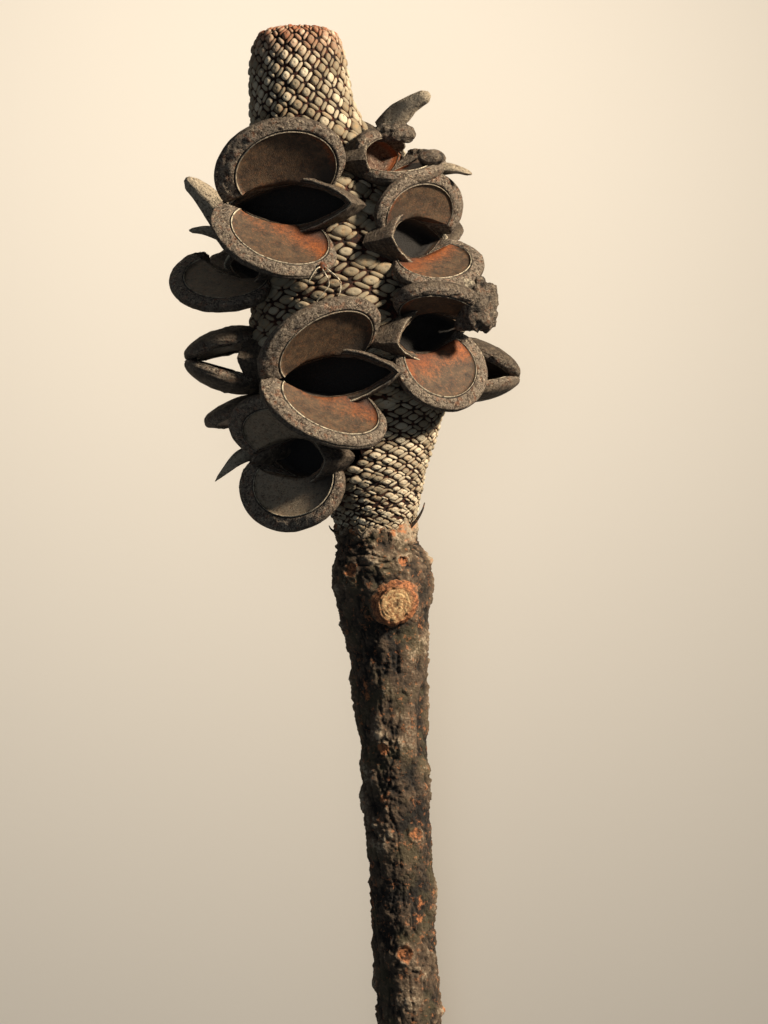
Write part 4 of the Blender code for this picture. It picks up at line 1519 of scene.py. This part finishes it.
@dataclass
class Branch:
    """The bark-covered branch, with a cut side branch, knots, scars and flakes."""

    rows: int = 420
    columns: int = 148
    seed: int = 40
    cut_along: float = -19.9    # the cut side branch: along Y, degrees round, radius and length
    cut_around: float = 12.5
    cut_size: float = 3.7
    cut_reach: float = 2.3
    scars: tuple[Spot, ...] = (
        Spot(-13.4, -38, 1.8, 1.9, 0.55), Spot(-11.4, 27, 1.3, 1.5, 0.7), Spot(-75.2, 30, 1.7, 1.8, 0.5),
        Spot(-103.0, 0, 2.2, 2.0, 0.6), Spot(-55.2, -18, 1.5, 1.6, 0.5), Spot(-88.0, 160, 2.0, 2.0, 0.5),
        Spot(-45.0, 220, 1.7, 1.7, 0.5),
    )
    knots: tuple[Spot, ...] = (
        Spot(-10.6, -7, 2.6, 2.6, 0.8), Spot(-10.6, 82, 1.6, 1.6, 1.4), Spot(-26.6, -76, 1.8, 1.8, 1.0),
        Spot(-52.0, -27, 1.5, 1.5, 1.0), Spot(-55.2, -18, 1.2, 1.3, -0.9), Spot(-66.3, -82, 1.8, 1.8, 0.9),
        Spot(-103.0, 0, 1.6, 1.5, -1.2),
        Spot(-103.0, 0, 3.4, 3.2, 0.5), Spot(-111.2, -80, 1.8, 1.8, 0.9), Spot(-117.0, 82, 2.0, 2.0, 1.0),
        Spot(-34.0, 150, 2.4, 2.4, 1.0), Spot(-70.0, 200, 2.4, 2.4, 0.9), Spot(-96.0, 130, 2.4, 2.4, -0.9),
        Spot(-124.0, 190, 2.2, 2.2, 0.8), Spot(-28.5, 12, 2.0, 3.5, -0.9),
    )
    patches: tuple[Spot, ...] = (
        Spot(-23.0, -24, 4.0, 2.0, 0.8), Spot(-33.6, -46, 3.2, 1.8, 0.9), Spot(-41.8, -42, 4.5, 1.8, 1.0),
        Spot(-43.5, 62, 3.0, 1.5, 0.9), Spot(-83.0, -70, 2.4, 1.5, 0.8), Spot(-92.0, -82, 6.0, 1.8, 1.0),
        Spot(-91.2, 40, 2.5, 2.0, 0.9), Spot(-94.9, 30, 2.0, 1.8, 0.8), Spot(-97.0, 14, 1.6, 1.4, 0.8),
        Spot(-99.4, 68, 2.2, 1.6, 0.9), Spot(-52.0, -27, 1.4, 1.4, 1.0), Spot(-13.4, -38, 1.6, 1.6, 1.0),
        Spot(-20.0, 24, 4.6, 4.6, 0.85), Spot(-117.0, 82, 2.0, 1.4, 1.0), Spot(-60.0, 140, 4.0, 2.5, 0.8),
        Spot(-30.0, 200, 5.0, 2.5, 0.7), Spot(-110.0, 160, 5.0, 2.0, 0.8), Spot(-76.0, 230, 4.0, 2.0, 0.8),
        Spot(-6.5, 10, 2.0, 6.0, 0.5), Spot(-17.0, 40, 1.5, 2.0, 0.7),
    )

    @staticmethod
    def mark(y: Array, turn: Array, radius: Array, spot: Spot) -> Array:
        """How strongly a spot marks each place, from 0 to 1 at its middle."""
        off = (turn - math.radians(spot.around) + math.pi) % (2 * math.pi) - math.pi
        return np.exp(-(((y - spot.along) / spot.long) ** 2 + (off * radius / spot.wide) ** 2))

    def bark(self, skin: Skin) -> None:
        """Adds the bark's surface and the cut end.

        Args:
            skin: What they are added to.
        """
        ys, middles = eased(BRANCH_STATIONS, 1, 1.2)
        radii = eased(BRANCH_STATIONS, 2, 1.2)[1]
        y = np.linspace(BRANCH_TOP, BRANCH_END, self.rows)[:, None]
        turn = np.linspace(0, 2 * math.pi, self.columns, endpoint=False)[None, :]
        radius = np.interp(y, ys, radii) + 0 * turn
        middle = np.interp(y, ys, middles)
        place = np.stack([middle + radius * np.sin(turn), y + 0 * turn, radius * np.cos(turn)], axis=-1)
        warped = place + 0.5 * np.stack([cloud(place, 2.2, 61 + k, 2) for k in range(3)], axis=-1)
        _, gap, own = cells(warped * [1, 0.8, 1], 1.7, self.seed)
        small_gap = cells(warped, 0.85, self.seed + 20)[1]
        wart = smooth(0.0, 0.35, gap) * (0.35 + 0.65 * own)
        pebble = smooth(0.0, 0.4, small_gap)
        furrow = np.abs(cloud(place * [1, 0.3, 1], 2.6, self.seed + 4, 3))
        lump = cloud(place, 6.0, self.seed + 9, 2)
        scab = cloud(place, 3.0, self.seed + 30, 4)
        folds = np.abs(cloud(place * [0.35, 1, 0.35], 2.2, self.seed + 33, 3))
        patch = smooth(-0.2, 0.5, cloud(place, 9.0, self.seed + 36, 2))
        height = (0.15 + 0.45 * patch) * wart + 0.18 * pebble + 0.45 * lump + 0.42 * scab
        height = height - 0.45 * (1 - smooth(0.0, 0.16, furrow)) - 0.5
        height = height - 0.7 * (1 - smooth(0.0, 0.2, folds)) * smooth(-17.0, -11.0, y)
        rust = np.zeros_like(radius)
        for spot in self.knots:
            height = height + spot.amount * self.mark(y, turn, radius, spot)
        for spot in self.scars:
            off = (turn - math.radians(spot.around) + math.pi) % (2 * math.pi) - math.pi
            away = np.hypot((y - spot.along) / spot.long, off * radius / spot.wide)
            ring = np.exp(-((away - 1.0) / 0.22) ** 2)
            inner = 1 - smooth(0.7, 1.0, away)
            height = height * (1 - 0.8 * inner) + spot.amount * ring - 0.25 * inner
            height = height + 0.15 * inner * np.cos(away * 14)
            rust = np.maximum(rust, 0.75 * inner + 0.4 * ring)
        for spot in self.patches:
            there = self.mark(y, turn, radius, spot) * (0.75 + 0.5 * cloud(place, 1.8, self.seed + 40, 2))
            rust = np.maximum(rust, 0.9 * spot.amount * there)
            height = height - 0.30 * there
        top = smooth(-9.0, -3.0, y)
        height = height * (1 - 0.6 * smooth(-137.6, BRANCH_END, y))
        height = height + 1.3 * top * smooth(BRANCH_TOP, -3.9, y)
        worn = smooth(-0.1, 0.5, cloud(place, 3.4, self.seed + 12, 2))
        rust = np.maximum(rust, 0.7 * smooth(-9.0, -4.0, y) * worn)
        grown = radius + height
        ragged = y + top * (1.0 + 1.5 * cloud(place * [1, 0, 1], 2.4, self.seed + 14, 3))
        points = np.stack([middle + grown * np.sin(turn), ragged, grown * np.cos(turn)], axis=-1)
        # The height, which the finish turns into painted shade low down and a painted highlight on top.
        high = np.clip(0.55 + height * 0.55, 0, 1)
        parts = (0.97, 0.9, 0.8, 0.66, 0.5, 0.34, 0.18)
        core = np.array([float(np.interp(BRANCH_END, ys, middles)), BRANCH_END, 0.0])
        rim = points[-1] - core
        face = np.stack([core + rim * part for part in parts])
        rings = np.concatenate([points, face])
        marks = np.zeros((len(parts), self.columns))
        heart = marks + np.array([0.2, 0.9, 1.0, 1.0, 1.0, 1.0, 1.0])[:, None]
        growth = marks + np.array([0, 0.3, 0, 0.4, 0, 0.5, 0.2])[:, None]
        skin.loft(rings, np.array([-1.8, -3.6, 0.0]), core, high=np.concatenate([high, marks + 0.5]),
                  rust=np.concatenate([rust, marks]), heart=np.concatenate([0 * high, heart]),
                  ring=np.concatenate([0 * high, growth]))

    def stub(self, skin: Skin) -> None:
        """Adds the cut side branch, pale at its face, with its rings and a torn collar.

        Args:
            skin: What it is added to.
        """
        along, size, reach = self.cut_along, self.cut_size, self.cut_reach
        middle = float(np.interp(along, [-30.1, -20.7], [0.7, -0.2]))
        thick = float(np.interp(along, [-30.1, -20.7], [9.9, 11.6]))
        a = math.radians(self.cut_around)
        out = np.array([math.sin(a), -0.12, math.cos(a)])
        out /= np.linalg.norm(out)
        across = np.cross([0.0, 1.0, 0.0], out)
        across /= np.linalg.norm(across)
        up = np.cross(out, across)
        base = np.array([middle, along, 0.0]) + out * (thick - 1.0)
        count = 96
        turn = np.linspace(0, 2 * math.pi, count, endpoint=False)
        c, s = np.cos(turn), np.sin(turn)
        ring = np.stack([3 * c, 3 * s, 0 * c], axis=-1)
        wobble = 1 + 0.05 * cloud(ring, 2.0, 71, 2)
        rows = (                # part of the radius, height, rust, pale heart and dark ring
            (1.5, -1.6, 0.3, 0.0, 0.0), (1.42, 0.2, 0.5, 0.0, 0.0), (1.34, 1.0, 0.8, 0.0, 0.0),
            (1.27, 1.7, 1.0, 0.0, 0.0), (1.22, 2.3, 1.0, 0.0, 0.0), (1.16, 2.8, 1.0, 0.0, 0.1),
            (1.10, 3.15, 1.0, 0.1, 0.1), (1.03, 3.3, 0.9, 0.4, 0.3), (0.97, 3.1, 0.4, 0.7, 0.7),
            (0.91, 3.3, 0.0, 0.95, 0.1), (0.84, 3.42, 0.0, 1.0, 0.0), (0.76, 3.3, 0.0, 1.0, 0.6),
            (0.69, 3.42, 0.0, 1.0, 0.0), (0.61, 3.44, 0.0, 1.0, 0.0), (0.54, 3.3, 0.0, 1.0, 0.6),
            (0.47, 3.42, 0.0, 1.0, 0.0), (0.39, 3.42, 0.0, 1.0, 0.0), (0.31, 3.25, 0.0, 1.0, 0.7),
            (0.23, 3.3, 0.0, 0.9, 0.1), (0.14, 3.0, 0.4, 0.6, 0.8), (0.07, 2.9, 0.6, 0.4, 0.8),
        )
        rings, rust, heart, dark = [], [], [], []
        for part, high, red, pale, line in rows:
            flat = np.stack([part * 3 * c, part * 3 * s, 0 * c + high], axis=-1)
            lift = high * reach / 2.6 + (0.22 if part < 1 else 0.42) * cloud(flat, 0.8, 72, 3)
            swirl = part * (1 + 0.10 * cloud(flat, 1.2, 75, 2) * (part > 0.2))
            swirl = swirl * (1 + 0.16 * smooth(0.9, 1.3, part) * np.maximum(0, c + 0.3 * s))
            at = base + (size * swirl * c * wobble)[:, None] * across
            at = at + (size * swirl * s * wobble)[:, None] * up
            rings.append(at + lift[:, None] * out)
            rust.append(np.full(count, red))
            heart.append(np.full(count, pale))
            dark.append(np.full(count, line))
        skin.loft(np.stack(rings), base - out, base + out * (3.1 * reach / 2.6),
                  high=np.full((len(rows), count), 0.55), rust=np.stack(rust), heart=np.stack(heart),
                  ring=np.stack(dark))

    def build(self, finish: bpy.types.Material) -> bpy.types.Object:
        """Makes the branch and dresses it.

        Args:
            finish: The bark's material.

        Returns:
            The piece.
        """
        skin = Skin()
        self.bark(skin)
        self.stub(skin)
        for path in (((6.2, -3.4, 4.6), (7.6, -1.9, 5.2), (8.9, 0.3, 5.6), (9.5, 2.2, 5.4)),
                     ((-9.4, -4.9, 2.5), (-11.0, -4.9, 2.8), (-12.3, -4.1, 2.8), (-12.9, -3.2, 2.4))):
            Thread(path, 0.5, 0.25, 0.25, "high").add_to(skin)
        obj = skin.build("branch_bark")
        obj.data.materials.append(finish)
        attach(obj, "root")
        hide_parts("stem")
        return obj


# ---- The studio


class Reach(Enum):
    """What a lamp that is linked to the table lights: the table alone, or all the rest."""

    TABLE = "INCLUDE"
    REST = "EXCLUDE"


@dataclass
class Studio:
    """Plain pale table, soft light from the right, and the camera over the cone."""

    distance: float = 900.0     # camera to the cone's middle plane, mm
    lens: float = 134.6
    half: float = 3.0           # half the table's width, metres

    def floor(self) -> bpy.types.Object:
        """Makes the table.

        Returns:
            The table.
        """
        h = self.half
        mesh = bpy.data.meshes.new("table")
        mesh.from_pydata([(-h, -h, 0), (h, -h, 0), (h, h, 0), (-h, h, 0)], [], [(0, 1, 2, 3)])
        obj = linked("table", mesh)
        bench = Bench("pale_table")
        colour = bench.mix(bench.noise(180.0, 2) * 0.3, tone("d0c7b8"), tone("c9beac"))
        mesh.materials.append(bench.finish(colour, 0.9, bench.noise(3.0, 2) * 0.02))
        obj.visible_diffuse = False
        return obj

    def lamp(self, name: str, place: tuple[float, float, float], size: float, power: float, colour: str,
             table: bpy.types.Object | None = None, reach: Reach = Reach.TABLE,
             through: bool = False) -> None:
        """Adds a soft square light that faces the cone.

        Args:
            name: The light's name.
            place: Where it stands, metres.
            size: Its width, metres.
            power: Its strength, watts.
            colour: Its colour.
            table: The table, where this light and the table are linked.
            reach: What it then lights.
            through: Whether it also passes through the cone, which throws no shadow in it.
        """
        light = bpy.data.lights.new(name, "AREA")
        light.size = size
        light.energy = power
        light.color = tone(colour)[:3]
        obj = linked(name, light)
        obj.location = place
        obj.rotation_mode = "QUATERNION"
        obj.rotation_quaternion = (Vector(place) - Vector((0, 0.03, 0.03))).to_track_quat("Z", "Y")
        if table is not None:
            group = bpy.data.collections.new(name + "_reach")
            group.objects.link(table)
            group.collection_objects[0].light_linking.link_state = reach.value
            obj.light_linking.receiver_collection = group
            if through:
                obj.light_linking.blocker_collection = group
                obj.visible_camera = False

    def camera(self) -> None:
        """Adds the camera, straight over the cone as it lies."""
        turn = Matrix.Rotation(math.radians(TILT), 3, "X")
        shift = Vector(SHIFT)
        data = bpy.data.cameras.new("camera")
        data.lens = self.lens
        data.sensor_fit = "AUTO"
        data.sensor_width = 36.0
        data.clip_start, data.clip_end = 0.05, 20.0
        obj = linked("camera", data)
        spot = (turn @ Vector((0, 0, self.distance)) + shift) * 0.001
        obj.matrix_world = Matrix.Translation(spot) @ turn.to_4x4()
        bpy.context.scene.camera = obj

    def build(self) -> None:
        """Sets up the table, the lights and the camera."""
        table = self.floor()
        self.lamp("key", (0.85, 0.52, 0.58), 0.13, 35.5, "fff0dc", table, Reach.REST)
        self.lamp("fill", (-0.3, -0.2, 1.3), 1.0, 2.2, "dcebff")
        self.lamp("wash", (-0.014, 0.158, 0.29), 0.15, 1.43, "fff7ec", table, through=True)
        self.lamp("far_wash", (0.0, 0.0, 3.4), 2.4, 5.0, "ffe4c4", table)
        world = bpy.context.scene.world or bpy.data.worlds.new("world")
        bpy.context.scene.world = world
        world.use_nodes = True
        back = world.node_tree.nodes["Background"]
        back.inputs["Color"].default_value = tone("dde8f4")
        back.inputs["Strength"].default_value = 0.09
        bpy.context.scene.view_settings.view_transform = "Standard"
        self.camera()


def fruits() -> list[Follicle]:
    """Lists the fourteen follicles, the seen ones first.

    Returns:
        The follicles, with their places and shapes.
    """
    left, right = Side.LEFT, Side.RIGHT
    return [
        Follicle("follicle_01", 70.7, -22, right, 31.0, 21.0, 45, 30, out=2.7, nod=1, roll=-1, splay_up=4,
                 splay_down=10, twist_up=22, twist_down=18, warm_up=0.8, warm_down=0.75, extras=(
                     Thread(((-13.9, 55.9, 31.5), (-12.3, 54.6, 33.0), (-10.0, 52.3, 34.0),
                             (-10.2, 49.1, 34.0), (-12.9, 47.0, 32.5), (-14.0, 48.1, 30.5)), 0.19),
                     Thread(((-14.3, 55.7, 31.5), (-12.4, 52.0, 34.5), (-13.4, 49.7, 35.0),
                             (-15.2, 47.5, 34.0), (-14.4, 45.3, 33.0), (-12.2, 44.9, 32.0)), 0.17),
                     Thread(((-13.9, 55.9, 31.5), (-15.5, 54.8, 32.5), (-17.2, 52.0, 32.0)), 0.2),
                     Lump((-13.9, 55.6, 31.4), (0.8, 0.9, 0.8), 311, 0.3, rust=0.8))),
        Follicle("follicle_02", 31.0, -11, right, 31.0, 21.0, 34, 27, out=2.8, nod=-3, roll=4, splay_up=6,
                 splay_down=6, twist_up=24, twist_down=25, warm_up=0.35, warm_down=0.8),
        Follicle("follicle_03", 12.7, -57, right, 29.5, 18.5, 41, 56, out=4.0, nod=-7, roll=-2, splay_up=3,
                 splay_down=-3, twist_up=15, twist_down=23, warm_up=0.5, warm_down=0.45, painted_light=0.45),
        Follicle("follicle_04", 63.5, 59, left, 28.5, 16.0, 52, 30, out=2.4, nod=9, roll=4,
                 splay_down=10, twist_up=13, twist_down=7, warm_up=1.1, warm_down=1.1,
                 extras=(Lump((2.2, 55.6, 17.5), (1.1, 1.6, 0.9), 321, 0.4, rust=1.0, pale=0.4),
                         Lump((4.5, 53.4, 15.5), (2.8, 1.5, 2.0), 322, 0.4))),
        Follicle("follicle_05", 41.4, 53, left, 30.0, 14.0, 20, 55, out=1.7, nod=-1, roll=10, low_length=1.30,
                 splay_up=8, splay_down=5, twist_up=16, twist_down=2, warm_up=1.1, warm_down=1.1,
                 extras=(Lump((21.5, 47.0, 15.0), (4.6, 6.4, 4.4), 301, 0.34),
                         Lump((17.5, 51.5, 17.0), (4.2, 2.6, 3.4), 302, 0.36, pale=0.3))),
        Follicle("follicle_06", 82.5, 62, left, 24.0, 15.5, 40, 12, out=2.5, nod=7, roll=8, twist_up=6,
                 twist_down=12, broken=0.42, warm_up=1.3, warm_down=1.5, mouth_rust=1.0,
                 extras=(Lump((2.6, 88.0, 11.0), (4.4, 2.3, 3.2), 331, 0.36),
                         Lump((10.5, 82.0, 13.0), (3.0, 1.7, 2.4), 332, 0.4)),
                 spikes=(((0.0, 6.0, 2.0), (0.5, 12.5, 15.5), 1.6, 3.4, 0.5),
                         ((5.0, -4.5, 8.0), (6.0, -7.5, 20.0), 3.0, 2.0, 0.3))),
        Follicle("follicle_07", 58.5, -66, right, 30.0, 19.5, 44, 20, out=1.6, nod=4, splay_up=2,
                 splay_down=4, twist_up=0, twist_down=22, broken=0.40, warm_up=0.4, warm_down=0.2,
                 line_down=0.6, painted_light=0.2,
                 spikes=(((-5.0, 5.0, 1.0), (-5.0, 18.2, 15.7), 4.4, 4.2, 0.36),
                         ((-9.5, 5.6, 1.5), (-9.0, 6.5, 12.5), 3.4, 1.8, 0.3))),
        Follicle("follicle_08", 35.7, -94, right, 27.0, 17.0, -11, -12, out=1.0, gape=3.8, twist_up=2,
                 twist_down=2, points=128),
        Follicle("follicle_09", 21.5, -112, right, 23.0, 18.5, 12, 10, out=1.0, nod=-31, gape=3.4, twist_up=2,
                 twist_down=2, points=128, spikes=(((7.0, -3.5, 7.5), (8.2, -4.7, 20.0), 2.2, 2.2),)),
        Follicle("follicle_10", 34.0, 110, left, 25.0, 19.5, -12, -12, out=1.2, nod=-6, gape=3.8, twist_up=2,
                 twist_down=2, points=128),
        Follicle("follicle_11", 83.0, 164, left, 22.0, 15.0, 34, 30, out=1.0, nod=2, points=100),
        Follicle("follicle_12", 65.0, -143, right, 26.0, 23.0, 20, 18, out=2.6, nod=5, points=100),
        Follicle("follicle_13", 60.0, 143, left, 26.0, 22.0, 20, 18, out=2.0, points=100),
        Follicle("follicle_14", 33.0, 180, right, 27.0, 16.5, 64, 60, out=1.0, points=100),
    ]


def main() -> None:
    """Builds the pieces in order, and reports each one."""
    logging.basicConfig(level=logging.INFO, format="%(message)s")
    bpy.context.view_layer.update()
    cone = ConeShape.shared()
    cone.fruits = fruits()
    wood = FruitFinish().material()
    made = [Branch().build(BarkFinish().material()), ConeCore().build(CoreFinish().material())]
    made += Bracts().build(BractFinish().material())
    made += [fruit.build(wood) for fruit in cone.fruits]
    Studio().build()
    for piece in made:
        piece.data.calc_loop_triangles()
        LOG.info("%s: %d triangles", piece.name, len(piece.data.loop_triangles))


if __name__ == "__main__":
    main()
